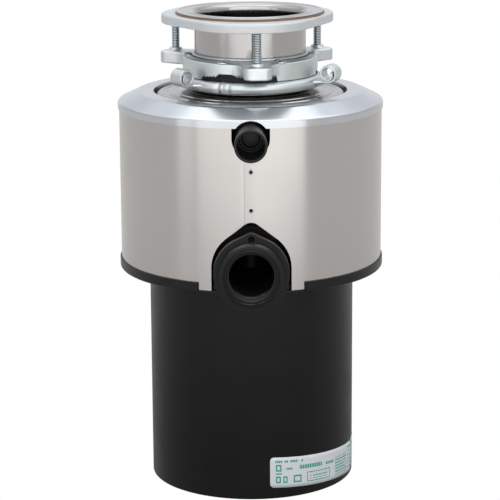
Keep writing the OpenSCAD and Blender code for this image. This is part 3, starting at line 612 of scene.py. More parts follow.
# %% Painted, moulded and soft finishes
moulded("black_enamel", (0.0040, 0.0040, 0.0044), (0.05, 0.05, 0.05), 0.34, skin=2200.0, relief=0.0015,
        wear=0.0, dust=0.0, Specular_IOR_Level=0.26)
moulded("black_casting", (0.0055, 0.0055, 0.0058), (0.045, 0.043, 0.042), 0.42, skin=1300.0, relief=0.008,
        wear=0.25, dust=0.1, Specular_IOR_Level=0.22)
moulded("black_plastic", (0.0045, 0.0045, 0.0050), (0.05, 0.05, 0.05), 0.33, skin=2400.0, relief=0.003,
        wear=0.15, dust=0.06, Specular_IOR_Level=0.28)
# Partly dust and partly painted highlight: the large dust amount paints a pale brownish top on the port ring.
moulded("black_rubber", (0.0045, 0.0045, 0.0046), (0.04, 0.036, 0.032), 0.42, skin=1800.0, relief=0.005,
        wear=0.15, dust=0.75, Specular_IOR_Level=0.24)
moulded("red_plastic", (0.62, 0.028, 0.02), (0.75, 0.25, 0.2), 0.28, relief=0.004)
moulded("cream_plastic", (0.70, 0.66, 0.54), (0.8, 0.77, 0.68), 0.42, relief=0.006)
moulded("green_screw", (0.035, 0.27, 0.085), (0.5, 0.55, 0.5), 0.34, relief=0.004, wear=0.8, Coat_Weight=0.3)
moulded("foam", (0.72, 0.72, 0.68), (0.8, 0.8, 0.78), 0.85, skin=420.0, relief=0.35, wear=0.0)
moulded("cast_aluminium", (0.50, 0.51, 0.52), (0.72, 0.73, 0.74), 0.46, skin=850.0, relief=0.05, wear=0.8,
        Metallic=0.9)
moulded("silver_plastic", (0.56, 0.58, 0.61), (0.66, 0.69, 0.73), 0.17, skin=2600.0, relief=0.0003,
        wear=0.0, dust=0.0, cloudy=1.06, Metallic=0.9)
moulded("grey_plate", (0.54, 0.565, 0.585), (0.66, 0.68, 0.70), 0.5, relief=0.004, dust=0.05, cloudy=1.08,
        Metallic=0.35)

# %% [markdown]
# Zinc plate is passivated in a thin film that is nearly clear and shows faint yellow, green and pink where
# its thickness changes. Two noises of different size choose between those tints. The screws' film is
# thicker and reads blue. Vulcanised fibre is pressed in layers, so its edge shows fine lines.

# %% Zinc, fibre and label film


def plated(name, base_colours, rough, tint_scale, relief):
    """Zinc film: cloudy noise through a colour ramp of close tints, over a finely frosted bright metal."""
    tree, shader = start_finish(name, Metallic=1.0)
    place, _ = object_axes(tree)
    spots = np.linspace(0.25, 0.75, len(base_colours)).tolist()
    tint = ramp_node(tree, noise_node(tree, place, tint_scale), list(zip(spots, base_colours)))
    first = base_colours[0]
    cloud = place_group(tree, MOTTLE, Scale=90.0, Speckle_Scale=2400.0)
    base = mix_colour(tree, cloud.outputs["Speckle"], tint, tuple(c * 0.94 for c in first))
    # Painted shade: in the thread's roots the zinc darkens to 0.38 of its colour.
    base = mix_colour(tree, painted_shade_of(tree), base, tuple(c * 0.38 for c in first))
    tree.links.new(base, shader.inputs["Base Color"])
    tree.links.new(math_node(tree, "MULTIPLY_ADD", cloud.outputs["Cloud"], rough * 0.5, rough * 0.72),
                   shader.inputs["Roughness"])
    skin = place_group(tree, MOULDED_SKIN, Scale=1100.0)
    link_bump(tree, shader, skin.outputs["Height"], relief)


plated("zinc_plate", [(0.66, 0.70, 0.71), (0.69, 0.73, 0.70), (0.67, 0.72, 0.74), (0.72, 0.70, 0.73)],
       0.42, 30.0, 0.0006)
plated("blue_zinc", [(0.60, 0.67, 0.72), (0.66, 0.72, 0.75), (0.70, 0.74, 0.76)], 0.30, 70.0, 0.001)

tree, shader = moulded("fibre", (0.26, 0.145, 0.082), (0.42, 0.27, 0.17), 0.55, skin=900.0, relief=0.02,
                       dust=0.1)
layers = place_group(tree, TURNED_GRAIN, Fineness=5000.0, Streak=5.0)
brown = tree.nodes["Principled BSDF"].inputs["Base Color"].links[0].from_socket
pressed = range_node(tree, layers.outputs["Height"], 0.35, 0.65)
tree.links.new(mix_colour(tree, pressed, (0.19, 0.10, 0.055), brown), shader.inputs["Base Color"])
# %% [markdown]
# The label's film is white and satin. In place of print it has teal bars and boxes that say nothing. The
# label's own UV map is in millimetres, so a row is a stripe in v, and a bar is a cell in u whose random
# number is low enough.

# %% Label film
BAR_ROWS = [
    ((4.0, 28.0, 20.0, 23.0), 4.0, 2.0, 1.6, 0.85),
    ((24.0, 46.0, 13.5, 18.5), 4.7, 3.2, 2.2, 1.0),
    ((13.0, 18.0, 13.5, 18.0), 4.7, 1.8, 1.5, 1.0),
    ((62.0, 82.0, 3.0, 17.5), 2.4, 1.3, 1.7, 0.9),
    ((34.0, 52.0, 5.0, 9.5), 2.3, 1.1, 1.4, 0.9),
    ((50.0, 60.0, 14.0, 18.0), 4.7, 2.2, 1.6, 1.0),
    ((84.0, 400.0, 3.0, 22.0), 3.3, 1.6, 1.8, 0.75),
]
SOLID_BOXES = [(4.5, 9.0, 13.0, 18.5), (4.5, 9.3, 10.6, 11.6), (4.5, 8.5, 3.5, 9.0), (10.5, 14.0, 3.5, 9.0),
               (19.0, 26.0, 3.5, 9.5)]
CLEAR_BOXES = [(5.6, 7.9, 14.2, 17.3), (5.6, 7.4, 4.7, 7.8), (11.5, 13.0, 4.7, 7.8), (20.2, 24.8, 4.7, 8.3)]
FRAME_OUTSIDE = (31.0, 55.0, 3.0, 11.0)
FRAME_INSIDE = (31.7, 54.3, 3.7, 10.3)
INK = (0.02, 0.31, 0.235)


def within(tree, value, low, high):
    """1 where value lies between low and high."""
    above = math_node(tree, "GREATER_THAN", value, low)
    return math_node(tree, "MULTIPLY", above, math_node(tree, "LESS_THAN", value, high))


def box_mask(tree, across, up, box):
    """1 inside a box of (from u, to u, from v, to v) in mm."""
    return math_node(tree, "MULTIPLY", within(tree, across, *box[:2]), within(tree, up, *box[2:]))


def bar_rows(tree, across, up, box, pitch, thick, cell, share):
    """Rows of bars in a box: v modulo the pitch is under the bar's thickness, and the noise of the cell in u
    is under the share that is printed."""
    row = math_node(tree, "FLOOR", math_node(tree, "DIVIDE", up, pitch))
    printed = math_node(tree, "LESS_THAN", math_node(tree, "MODULO", up, pitch), thick)
    pair = add_node(tree, "CombineXYZ")
    tree.links.new(math_node(tree, "FLOOR", math_node(tree, "DIVIDE", across, cell)), pair.inputs["X"])
    tree.links.new(row, pair.inputs["Y"])
    random = add_node(tree, "TexWhiteNoise")
    random.noise_dimensions = "2D"
    tree.links.new(pair.outputs[0], random.inputs["Vector"])
    chosen = math_node(tree, "LESS_THAN", random.outputs["Value"], share)
    gap = math_node(tree, "GREATER_THAN", math_node(tree, "MODULO", across, cell), cell * 0.22)
    bars = math_node(tree, "MULTIPLY", math_node(tree, "MULTIPLY", printed, chosen), gap)
    return math_node(tree, "MULTIPLY", bars, box_mask(tree, across, up, box))


def label_film():
    """Marks where a rating label has its print: rows of bars, solid and outlined boxes, and a frame."""
    tree, shader = start_finish("label_film")
    uv = add_node(tree, "UVMap")
    uv.uv_map = "label_mm"
    across, up, _ = split_axes(tree, uv.outputs[0])
    outside, inside = (box_mask(tree, across, up, box) for box in (FRAME_OUTSIDE, FRAME_INSIDE))
    marks = math_node(tree, "SUBTRACT", outside, inside)
    masks = [bar_rows(tree, across, up, *rows) for rows in BAR_ROWS]
    for mask in masks + [box_mask(tree, across, up, box) for box in SOLID_BOXES]:
        marks = math_node(tree, "MAXIMUM", marks, mask)
    for box in CLEAR_BOXES:
        kept = math_node(tree, "SUBTRACT", 1.0, box_mask(tree, across, up, box))
        marks = math_node(tree, "MULTIPLY", marks, kept)
    cloud = place_group(tree, MOTTLE, Scale=60.0, Speckle_Scale=2000.0)
    film = mix_colour(tree, cloud.outputs["Cloud"], (0.62, 0.65, 0.69), (0.68, 0.71, 0.74))
    tree.links.new(mix_colour(tree, marks, film, INK), shader.inputs["Base Color"])
    gloss = math_node(tree, "MULTIPLY_ADD", cloud.outputs["Cloud"], 0.1, 0.34)
    tree.links.new(gloss, shader.inputs["Roughness"])
    skin = place_group(tree, MOULDED_SKIN, Scale=900.0)
    link_bump(tree, shader, skin.outputs["Height"], 0.004)


label_film()


def finish_of(piece, slot):
    """Gives a new piece the finish of its slot."""
    piece.data.materials.clear()
    piece.data.materials.append(FINISHES[slot])

# %% [markdown]
# ## CAD pieces that keep their shape
#
# The pieces inside the motor and the grinding chamber are already right as CAD solids, so they only take
# their finish. A few that show their corners, such as the drain casting and its port plate, are copied,
# merged and bevelled, because a highlight along a rounded edge is what makes a moulded part look real.

# %% Dress the CAD nodes
for node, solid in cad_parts.items():
    for place in solid.material_slots:
        if place.material is not None and place.material.name in FINISHES:
            place.material = FINISHES[place.material.name]
SLOT_OF = {node: solid.data.materials[0].name.split(".")[0] for node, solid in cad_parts.items()}
print(len(SLOT_OF), "nodes dressed")


def bevelled(piece, width, segments, angle):
    """Rounds every edge sharper than that angle in degrees, by width in mm."""
    edge = piece.modifiers.new("rounded_edges", "BEVEL")
    edge.width = width * MM
    edge.segments = segments
    edge.limit_method = "ANGLE"
    edge.angle_limit = math.radians(angle)
    edge.harden_normals = True


def softened(node, width):
    """A copy of a CAD node: doubles merged, flat faces joined into one, then a bevel on every sharp edge."""
    bm = bmesh.new()
    bm.from_mesh(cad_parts[node].data)
    bmesh.ops.remove_doubles(bm, verts=bm.verts, dist=WELD * MM)
    bmesh.ops.dissolve_limit(bm, angle_limit=math.radians(0.4), verts=bm.verts, edges=bm.edges)
    mesh = bpy.data.meshes.new(node + "_softened")
    bm.to_mesh(mesh)
    bm.free()
    mesh.polygons.foreach_set("use_smooth", np.ones(len(mesh.polygons), bool))
    mesh.set_sharp_from_angle(angle=SMOOTH_BELOW)
    piece = bpy.data.objects.new(mesh.name, mesh)
    bpy.context.scene.collection.objects.link(piece)
    bevelled(piece, width, 3, 38)
    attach(piece, "housing")
    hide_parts(node)
    finish_of(piece, SLOT_OF[node])
    print(piece.name, len(mesh.polygons), "faces before the bevel")


softened("drain_chamber", 0.7)
softened("base_ring", 0.35)
softened("terminal_cover", 0.25)

# %% [markdown]
# ## Motor can
#
# A deep-drawn steel can, painted satin black. Its wall turns in at the floor to a narrow foot, with only a
# small draw radius. It is one closed profile revolved about the axis.

# %% Can
CAN_R = 80.0
CAN_TOP = 166.0
turned_piece("can", [(72, 0), (CAN_R, 0, 1.2), (CAN_R, CAN_TOP), (78.5, CAN_TOP), (78.5, 1.5), (72, 1.5)],
             "housing", "black_enamel", ["motor_can"], steps=256)

# %% [markdown]
# ## Shell
#
# The trim shell is one strip of brushed stainless, rolled round the chamber and riveted at the front, where
# one end laps over the other. It has two cutouts: a keyhole about the discharge port, open at the bottom,
# and a round slot about the dishwasher inlet, open at the top. A boolean would leave slivers on a face
# that mirrors the room. Here each upright column of points runs from the cutout's edge to the next, so
# the edge is exact and the cylinder stays smooth.

# %% Shell outline
SHELL_R = 102.0
SHELL_LOW = 171.5
SHELL_HIGH = 299.5
PORT_Z = 188.5
PORT_CUT_R = 30.0
APEX_R = 8.0
APEX_Z = PORT_Z + 27.9
INLET_Z = 287.0
INLET_CUT_R = 14.2
SEAM_X = -5.2
SHEET = 0.8


def keyhole_edge(x):
    """Top of the port's cutout at x: the small circle, its tangent to the large one, then the large one."""
    lift = math.asin((PORT_CUT_R - APEX_R) / (APEX_Z - PORT_Z))
    x = np.abs(x)
    near = APEX_R * math.cos(lift)
    far = PORT_CUT_R * math.cos(lift)
    ends = [APEX_Z + APEX_R * math.sin(lift), PORT_Z + PORT_CUT_R * math.sin(lift)]
    top = APEX_Z + np.sqrt(np.maximum(APEX_R ** 2 - x ** 2, 0))
    side = np.interp(x, [near, far], ends)
    low = PORT_Z + np.sqrt(np.maximum(PORT_CUT_R ** 2 - x ** 2, 0))
    return np.where(x < near, top, np.where(x < far, side, low))


def inlet_edge(x):
    """Lower edge of the inlet's slot at x, a half circle."""
    return INLET_Z - np.sqrt(np.maximum(INLET_CUT_R ** 2 - x ** 2, 0))


def front_columns(radius, widths, steps=240):
    """Angles for the columns: even all round, and packed like a circle's points near each cutout's sides."""
    t = np.linspace(-math.pi / 2, math.pi / 2, 41)
    fine = np.concatenate([np.arcsin(w * np.sin(t) / radius) for w in widths])
    even = np.linspace(-math.pi, math.pi, steps, endpoint=False)
    both = np.unique(np.round(np.concatenate([fine, even]), 6))
    keep = np.concatenate([[True], np.diff(both) > 2e-4])
    exact = np.concatenate([[math.asin(w / radius), -math.asin(w / radius)] for w in widths])
    for angle in exact:
        nearest = np.argmin(np.abs(both - angle))
        both[nearest] = angle
    return both[keep]


def band_block(angles, radii, low, high, rows, keep):
    """A strip of wall from height low to high at each angle, with the cells whose two columns are kept."""
    s = np.linspace(0, 1, rows)[:, None]
    points = polar(radii, angles, low * (1 - s) + high * s)
    faces = grid_faces(rows, len(angles))
    columns = faces[:, [0, 3]] % len(angles)
    return points, faces[keep[columns].all(axis=1)]


def sheet(blocks, thickness):
    """Merges the strips, copies them toward the axis by thickness, and joins both along every free edge. A
    free edge is one that belongs to a single face."""
    starts = np.cumsum([0] + [points[..., 0].size for points, _ in blocks])
    points = np.concatenate([points.reshape(-1, 3) for points, _ in blocks])
    faces = np.concatenate([faces + start for start, (_, faces) in zip(starts, blocks)])
    points, index = np.unique(np.round(points, 4), axis=0, return_inverse=True)
    faces = index.ravel()[faces]
    edges = np.stack([faces, np.roll(faces, -1, axis=1)], axis=-1).reshape(-1, 2)
    edges = edges[edges[:, 0] != edges[:, 1]]
    _, first, times = np.unique(np.sort(edges, axis=1), axis=0, return_index=True, return_counts=True)
    a, b = edges[first[times == 1]].T
    n = len(points)
    shrink = 1 - thickness / np.hypot(points[:, 0], points[:, 1])
    inner = points * np.stack([shrink, shrink, np.ones(n)], axis=-1)
    rim = np.stack([b, a, a + n, b + n], axis=-1)
    return np.vstack([points, inner]), np.vstack([faces, faces[:, ::-1] + n, rim])


# %% Shell
LAP_STEP = 0.55
LAP_FADE = 4.0
angles = front_columns(SHELL_R, [PORT_CUT_R, INLET_CUT_R, APEX_R])
seam = math.asin(SEAM_X / SHELL_R)
angles = angles[(angles < seam - 0.001) | (angles > seam + 0.004)]
angles = np.sort(np.append(angles, [seam, seam + 0.003]))
x = SHELL_R * np.sin(angles)
front = np.abs(angles) < math.pi / 2
under_lap = front & (x <= SEAM_X + 1e-6)
step_down = np.where(under_lap, LAP_STEP * np.exp(-np.maximum(SEAM_X - x, 0) / LAP_FADE), 0)
by_port = front & (np.abs(x) < PORT_CUT_R - 1e-4)
by_inlet = front & (np.abs(x) < INLET_CUT_R - 1e-4)
port_level = np.full_like(x, PORT_Z)
port_side = np.where(by_port, keyhole_edge(x), PORT_Z)
inlet_level = np.full_like(x, INLET_Z)
inlet_side = np.where(by_inlet, inlet_edge(x), INLET_Z)
radii = SHELL_R - step_down
strips = [
    band_block(angles, radii, np.full_like(x, SHELL_LOW), port_level, 4, ~by_port),
    band_block(angles, radii, port_side, inlet_side, 14, np.ones(len(x), bool)),
    band_block(angles, radii, inlet_level, np.full_like(x, SHELL_HIGH), 4, ~by_inlet),
]
mesh_piece("shell", [sheet(strips, SHEET)], "housing", SLOT_OF["shell_wrap"], ["shell_wrap"])

# %% [markdown]
# ## Rivets
#
# Two pop rivets hold the lap. A set pop rivet is a low flat dome, and the broken stem of its mandrel sits in
# its hollow middle, which is drawn as a black disc: painted shade.

# %% Rivets
RIVET_Z = (233.7, 262.6)
rivet_corners = [(1.35, -101.5), (1.35, -102.62, 0.15), (2.0, -102.35, 0.25), (2.0, -101.5)]
hollow_shade_corners = [(0.0, -101.5), (0.0, -102.25), (1.35, -102.25), (1.35, -101.5)]
rivet_rings = [ring_block(piped(filleted(rivet_corners, 3), z, 40)) for z in RIVET_Z]
mesh_piece("rivets", rivet_rings, "housing", SLOT_OF["shell_rivets"], ["shell_rivets"])
# Painted shade: a black disc stands for the shade in each rivet's hollow middle.
rivet_hollow_shade = [ring_block(piped(filleted(hollow_shade_corners, 3), z, 40)) for z in RIVET_Z]
mesh_piece("rivet_hollow_shade", rivet_hollow_shade, "housing", "black_casting")

# %% [markdown]
# ## Cap
#
# A silver plated moulding closes the shell's top: a flat collar, a shallow cone and a short upright rim. The
# rim is notched in an arch over the inlet. Its section is a path, and in the columns over the inlet the
# path stops early, where it meets the notch's circle.

# %% Cap
CAP_R = 102.9
CAP_TOP = 308.3
CAP_EDGE = 300.4
NOTCH_R = 13.7
cap_corners = [(75, 303.3), (75, CAP_TOP, 0.8), (86.6, CAP_TOP, 9.0), (CAP_R, CAP_EDGE, 2.2), (CAP_R, 294.9)]
cap_path = filleted(cap_corners, 7)


def path_samples(path, spacing):
    """The distances along a path of its own points, then those with others at most spacing apart."""
    leg = np.linalg.norm(np.diff(path, axis=0), axis=1)
    s = np.concatenate([[0], np.cumsum(leg)])
    extra = np.arange(0, s[-1], spacing)
    return s, np.unique(np.round(np.concatenate([s, extra]), 5))


def thickened(piece, thickness):
    """Gives a sheet that thickness in mm, on its inner side."""
    wall = piece.modifiers.new("wall", "SOLIDIFY")
    wall.thickness = thickness * MM
    wall.offset = -1


s_known, s_at = path_samples(cap_path, 1.6)
angles = front_columns(CAP_R, [NOTCH_R, 11.2], steps=300)
fine = np.linspace(0, s_known[-1], 3000)
fine_r = np.interp(fine, s_known, cap_path[:, 0])[:, None]
fine_z = np.interp(fine, s_known, cap_path[:, 1])[:, None]
cut = (fine_r * np.sin(angles)) ** 2 + (fine_z - INLET_Z) ** 2 < NOTCH_R ** 2
cut &= np.cos(angles) > 0
stop = np.where(cut.any(axis=0), fine[np.argmax(cut, axis=0)], s_known[-1])
s_grid = np.minimum(s_at[:, None], stop)
r, z = (np.interp(s_grid, s_known, cap_path[:, k]) for k in (0, 1))
cap_block = (polar(r, angles, z), grid_faces(len(s_at), len(angles)))
cap = mesh_piece("cap", [cap_block], "housing", SLOT_OF["cap_ring"], ["cap_ring"])
thickened(cap, 1.0)
bevelled(cap, 0.25, 2, 50)

# %% [markdown]
# ## Grind container
#
# The stainless container is spun: its domed top shows as a dark disc inside the cap, with low rings that
# the spinning tool leaves and that stiffen it. Only the profile says all that, so the rings are written
# into it as small steps.

# %% Container
CONTAINER_TOP = 307.0
SHADED_BELOW = 236.0
container_corners = [
    (72.0, 218.0), (86.4, 218.0), (86.4, 219.2), (73.2, 219.2, 0.8), (73.2, 232.0), (73.2, SHADED_BELOW),
    (73.2, CONTAINER_TOP, 3.6), (68.6, CONTAINER_TOP, 0.6), (67.6, 306.2, 0.6), (64.6, 306.2, 0.6),
    (63.6, 307.0, 0.6), (60.6, 307.3, 0.6), (59.8, 306.9, 0.5), (57.4, 307.1, 0.5), (56.6, 307.8, 0.5),
    (50.4, 308.6, 1.2), (46.4, 310.2, 0.8), (46.4, 315.0, 0.7), (50.6, 315.0), (50.6, 316.2, 0.5),
    (45.2, 316.2, 0.8), (45.2, 309.4), (48.2, 307.4), (62.2, 305.8), (68.0, 305.0), (72.0, 303.5),
    (72.0, 300.0)]
container = turned_piece("container", container_corners, "housing", SLOT_OF["grind_container"],
                         ["grind_container"], steps=220, fillet_steps=4)
# Painted shade: the container's wall goes dark below 236 mm, where it shows in the shade behind the top of
# the shell's keyhole.
add_painted_shade(container, lambda x, y, z: (SHADED_BELOW - z) / 4.0)

# %% [markdown]
# ## Discharge port ring
#
# A rubber ring sits on the port plate and seals the drain elbow: a broad lip with a raised outer bead, two
# shallow grooves and a bore that narrows in steps. Its profile turns about a level axis along Y.

# %% Port ring
PORT_FACE = -117.55
port_corners = [
    (16.65, PORT_FACE), (23.95, PORT_FACE, 0.3), (23.95, PORT_FACE - 7.0, 2.9), (20.9, PORT_FACE - 7.0, 0.1),
    (20.6, PORT_FACE - 6.2, 0.2), (20.0, PORT_FACE - 6.2, 0.2), (19.7, PORT_FACE - 6.9, 0.3),
    (18.6, PORT_FACE - 6.9, 0.4), (18.3, PORT_FACE - 5.6, 0.3), (16.65, PORT_FACE - 5.4, 0.4)]
port_ring = piped(filleted(port_corners, 4), PORT_Z, 128)
mesh_piece("port_ring", [ring_block(port_ring)], "housing", SLOT_OF["outlet_gasket"], ["outlet_gasket"])

# %% [markdown]
# ## Dishwasher inlet
#
# A moulded tube with a bead at its mouth that keeps the hose on. A new disposer has a thin knockout plug
# moulded across the bore, which shows as a disc with a rim some way in.

# %% Inlet and plug
MOUTH = -132.0
inlet_corners = [
    (10.0, -67.0), (10.0, MOUTH, 0.9), (12.15, MOUTH, 0.9), (12.15, MOUTH + 4.6, 1.2),
    (11.2, MOUTH + 5.8, 0.8), (11.4, -75.6, 0.5), (15.4, -75.3, 0.8), (15.4, -71.4, 0.6),
    (11.4, -71.3, 0.4), (11.4, -67.0)]
inlet = piped(filleted(inlet_corners, 5), INLET_Z, 96)
mesh_piece("inlet", [ring_block(inlet)], "housing", SLOT_OF["dishwasher_inlet"], ["dishwasher_inlet"])
plug_corners = [(0.0, -100.0), (6.2, -100.0, 0.4), (6.8, -99.2, 0.4), (8.4, -99.2, 0.4), (8.9, -100.5, 0.3),
                (9.95, -100.5), (9.95, -98.0), (0.0, -98.0)]
plug = piped(filleted(plug_corners, 4), INLET_Z, 72)
mesh_piece("plug", [ring_block(plug)], "housing", SLOT_OF["inlet_plug"], ["inlet_plug"])

# %% [markdown]
# ## Sink flange, gasket and cushion
#
# The sink flange is drawn from polished stainless: a flat brim, a rolled edge at the throat and a straight
# sleeve. A brown fibre ring lies under the brim, and a black rubber cushion seals the sleeve to the
# container's neck. All three are plain revolutions with small radii.

# %% Flange, fibre ring and cushion
BRIM_TOP = 369.7
THROAT_R = 41.5
THROAT_LIT_TO = 363.4
flange_corners = [
    (43.0, 326.9, 0.4), (43.0, 368.0, 0.9), (56.2, 368.75, 0.2), (56.7, 369.0, 0.3), (56.5, 369.65, 0.3),
    (55.2, 369.65, 0.3), (54.4, 369.2, 0.5), (48.8, 369.1, 1.0), (47.6, BRIM_TOP, 0.6),
    (THROAT_R, BRIM_TOP, 5.0), (THROAT_R, THROAT_LIT_TO), (THROAT_R, 361.6), (THROAT_R, 326.9, 0.4)]
flange = turned_piece("flange", flange_corners, "housing", SLOT_OF["sink_flange"], ["sink_flange"], steps=220)


def throat_shade(x, y, z):
    """Painted shade on the throat's inner face only: 0 above THROAT_LIT_TO and 0.6 from about 1 mm below it.
    """
    return (np.hypot(x, y) < THROAT_R + 0.5) * np.clip((THROAT_LIT_TO - z) / 1.8, 0, 0.6)


# Painted shade: the throat's inner face darkens below the lit rolled edge.
add_painted_shade(flange, throat_shade)
fibre_corners = [(43.3, 367.55), (57.4, 367.55, 0.2), (57.4, 368.65, 0.2), (43.3, 368.65)]
turned_piece("fibre_ring", fibre_corners, "housing", SLOT_OF["fibre_gasket"], ["fibre_gasket"], steps=220)
cushion_corners = [
    (43.2, 316.5), (51.0, 316.5, 0.5), (51.0, 322.8, 0.8), (50.0, 322.8), (50.0, 331.9, 0.8),
    (43.3, 331.9, 0.4), (43.3, 326.6, 0.2), (41.0, 326.6, 0.2), (41.0, 322.5, 0.4), (43.2, 319.5, 0.4)]
turned_piece("cushion", cushion_corners, "housing", SLOT_OF["mounting_gasket"], ["mounting_gasket"],
             steps=180)

# %% [markdown]
# ## Outlines in plan
#
# The clamp plate and the upper ring are not round. The clamp plate is a hexagon with large rounded corners.
# The upper ring is the union of simple shapes, blended with a radius, and its outline is found as a signed
# distance: along each ray from the centre, the outermost point where the blended distance is still below
# zero. Each outline is then spaced evenly, so that short concave corners get their share of points.

# %% Outline helpers


def blend_union(a, b, radius):
    """The smaller of two distances, lowered near their meeting by radius / 4 * (1 - |a - b| / radius)
    squared."""
    near = np.maximum(radius - np.abs(a - b), 0) / radius
    return np.minimum(a, b) - near ** 2 * radius / 4


def resampled(corners, count):
    """That many points, evenly along a closed line."""
    closed = np.vstack([corners, corners[:1]])
    s = np.concatenate([[0], np.cumsum(np.linalg.norm(np.diff(closed, axis=0), axis=1))])
    at = np.linspace(0, s[-1], count, endpoint=False)
    return np.stack([np.interp(at, s, closed[:, 0]), np.interp(at, s, closed[:, 1])], axis=-1)


def outline_of(distance, count, inner, outer):
    """Outermost zero of distance(x, y) along 4000 rays, smoothed over three, then resampled."""
    a = np.linspace(0, 2 * np.pi, 4000, endpoint=False)
    r = np.linspace(inner, outer, 700)
    inside = distance(*np.moveaxis(polar(r, a[:, None], 0)[..., :2], -1, 0)) < 0
    last = len(r) - 1 - np.argmax(inside[:, ::-1], axis=1)
    edge = (r[last] + np.roll(r[last], 1) + np.roll(r[last], -1)) / 3
    return resampled(polar(edge, a, 0)[:, :2], count)


def inset(loop, amount):
    """Each point moves inwards by amount along the mean normal of its two sides."""
    along = np.roll(loop, -1, axis=0) - np.roll(loop, 1, axis=0)
    along /= np.linalg.norm(along, axis=1, keepdims=True)
    normal = np.stack([along[:, 1], -along[:, 0]], axis=-1)
    return loop - normal * amount


def level(loop, z):
    """A flat loop lifted to height z, which may differ from point to point."""
    return np.column_stack([loop, np.broadcast_to(z, len(loop))])


def circle_like(loop, radius, centre=(0.0, 0.0)):
    """A circle with one point on each ray to the loop's points, so that both can share a grid."""
    away = loop - np.array(centre)
    return np.array(centre) + away / np.linalg.norm(away, axis=1, keepdims=True) * radius


def rounded_over(loop, radius, z, steps=6):
    """Rings of a quarter-round edge: inset radius * (1 - cos t), height z - radius * (1 - sin t)."""
    t = np.linspace(0, math.pi / 2, steps)
    return [level(inset(loop, radius * (1 - math.cos(a))), z - radius * (1 - math.sin(a))) for a in t]


# %% [markdown]
# ## Clamp plate
#
# The backup flange that the three screws push up: a thick satin grey plate, round but cut flatter between
# the screws, with a soft rolled top edge and a hollow underside. It hangs loose on the sleeve, slightly
# off centre.

# %% Clamp plate
SHIFT = np.array([-1.2, -2.6])
PLATE_LOW = 360.2
PLATE_HIGH = 367.5
SCREW_ANGLES = (4.7, 124.7, -115.3)


def compass(degrees):
    """Unit vector at an angle counted from -Y towards +X."""
    a = math.radians(degrees)
    return np.array([math.sin(a), -math.cos(a)])


def plate_corner(k):
    """Where side k meets side k + 1. The sides stand 60 degrees apart, at 68 mm from the centre by a screw
    and 58.6 mm between screws. The corner lies (beyond - here * cos 60) / sin 60 along the side."""
    here, beyond = (68.0, 58.6) if k % 2 == 0 else (58.6, 68.0)
    out = compass(SCREW_ANGLES[0] + 60 * k)
    along = np.array([-out[1], out[0]])
    return out * here + along * (beyond - here * 0.5) / math.sin(math.radians(60))


plate_corners = [(*plate_corner(k), 42.0) for k in range(6)]
plate_loop = resampled(filleted(plate_corners, 40), 360) + SHIFT
bore_r = 43.0 + float(np.hypot(*SHIFT)) + 0.3
rings = [level(inset(plate_loop, 2.0), PLATE_LOW), level(inset(plate_loop, 0.5), PLATE_LOW),
         level(plate_loop, PLATE_LOW + 0.5)]
rings += rounded_over(plate_loop, 2.2, PLATE_HIGH, 7)
rings.append(level(inset(plate_loop, 6.0), PLATE_HIGH))
rings += [level(circle_like(plate_loop, radius, SHIFT), z) for radius, z in (
    (bore_r + 1, PLATE_HIGH), (bore_r, PLATE_HIGH - 0.6), (bore_r, PLATE_HIGH - 1.6),
    (54.6, PLATE_HIGH - 1.6), (55.2, PLATE_LOW + 0.6), (55.6, PLATE_LOW))]
plate_block = ring_block(np.array(rings))
mesh_piece("clamp_plate", [plate_block], "housing", SLOT_OF["backup_flange"], ["backup_flange"])

# %% [markdown]
# ## Upper mounting ring
#
# A cast ring, zinc plated, that hangs on the sleeve under a snap ring. Three lugs grow out of its skirt with
# concave webs, each with a short collar that is tapped for a screw. The skirt's lower edge is stepped
# into ramps, where the lower ring's ears climb and lock. The lugs and skirt share one outline.

# %% Upper ring
UPPER_LOW = 326.7
UPPER_TOP = 336.0
LUG_LOW = 325.8
LUG_TOP = 335.0
SKIRT_R = 52.3
LUG_PITCH = 64.5
LUG_R = 10.6
EAR_ANGLES = (-51.3, 68.7, 188.7)
DOME_ANGLES = (-25.0, 28.5, 92.0, 152.0, -92.0, -152.0)


def lug_distance(x, y):
    """The skirt's circle, blended with a block and a rounded end for each lug."""
    out = np.hypot(x, y) - SKIRT_R
    for angle in SCREW_ANGLES:
        ux, uy = compass(angle)
        along = x * ux + y * uy
        side = np.abs(-x * uy + y * ux)
        end = np.hypot(np.maximum(along - LUG_PITCH - 4.0, 0), np.maximum(side - LUG_R + 6.5, 0)) - 6.5
        block = np.maximum(end, 40 - along)
        out = blend_union(out, block, 9.0)
    return out


def skirt_ramp(around):
    """How far the skirt reaches down at each angle in degrees. Each ear has a 5.4 mm ramp from 47 degrees
    before it to 7 after, then 3 mm of teeth, two sines of 0.5 and 0.3 mm, up to 24 degrees after."""
    ramp = np.zeros(len(around))
    for angle in EAR_ANGLES:
        offset = (around - angle + 180) % 360 - 180
        solid_part = np.clip((offset + 47) / 1.5, 0, 1) * np.clip((7 - offset) / 1.0, 0, 1)
        teeth = 3.0 - 0.05 * offset + 0.5 * np.sin(offset * 1.9) + 0.3 * np.sin(offset * 4.3 + 1)
        jagged = np.clip((offset - 5) / 1.0, 0, 1) * np.clip((24 - offset) / 1.5, 0, 1) * teeth
        ramp = np.maximum(ramp, np.maximum(solid_part * 5.4, jagged))
    return ramp


def lathe_at(corners, centre, steps=48):
    """A closed profile revolved about an upright axis at centre."""
    return revolved(filleted(corners, 4), steps) + np.array([centre[0], centre[1], 0.0])


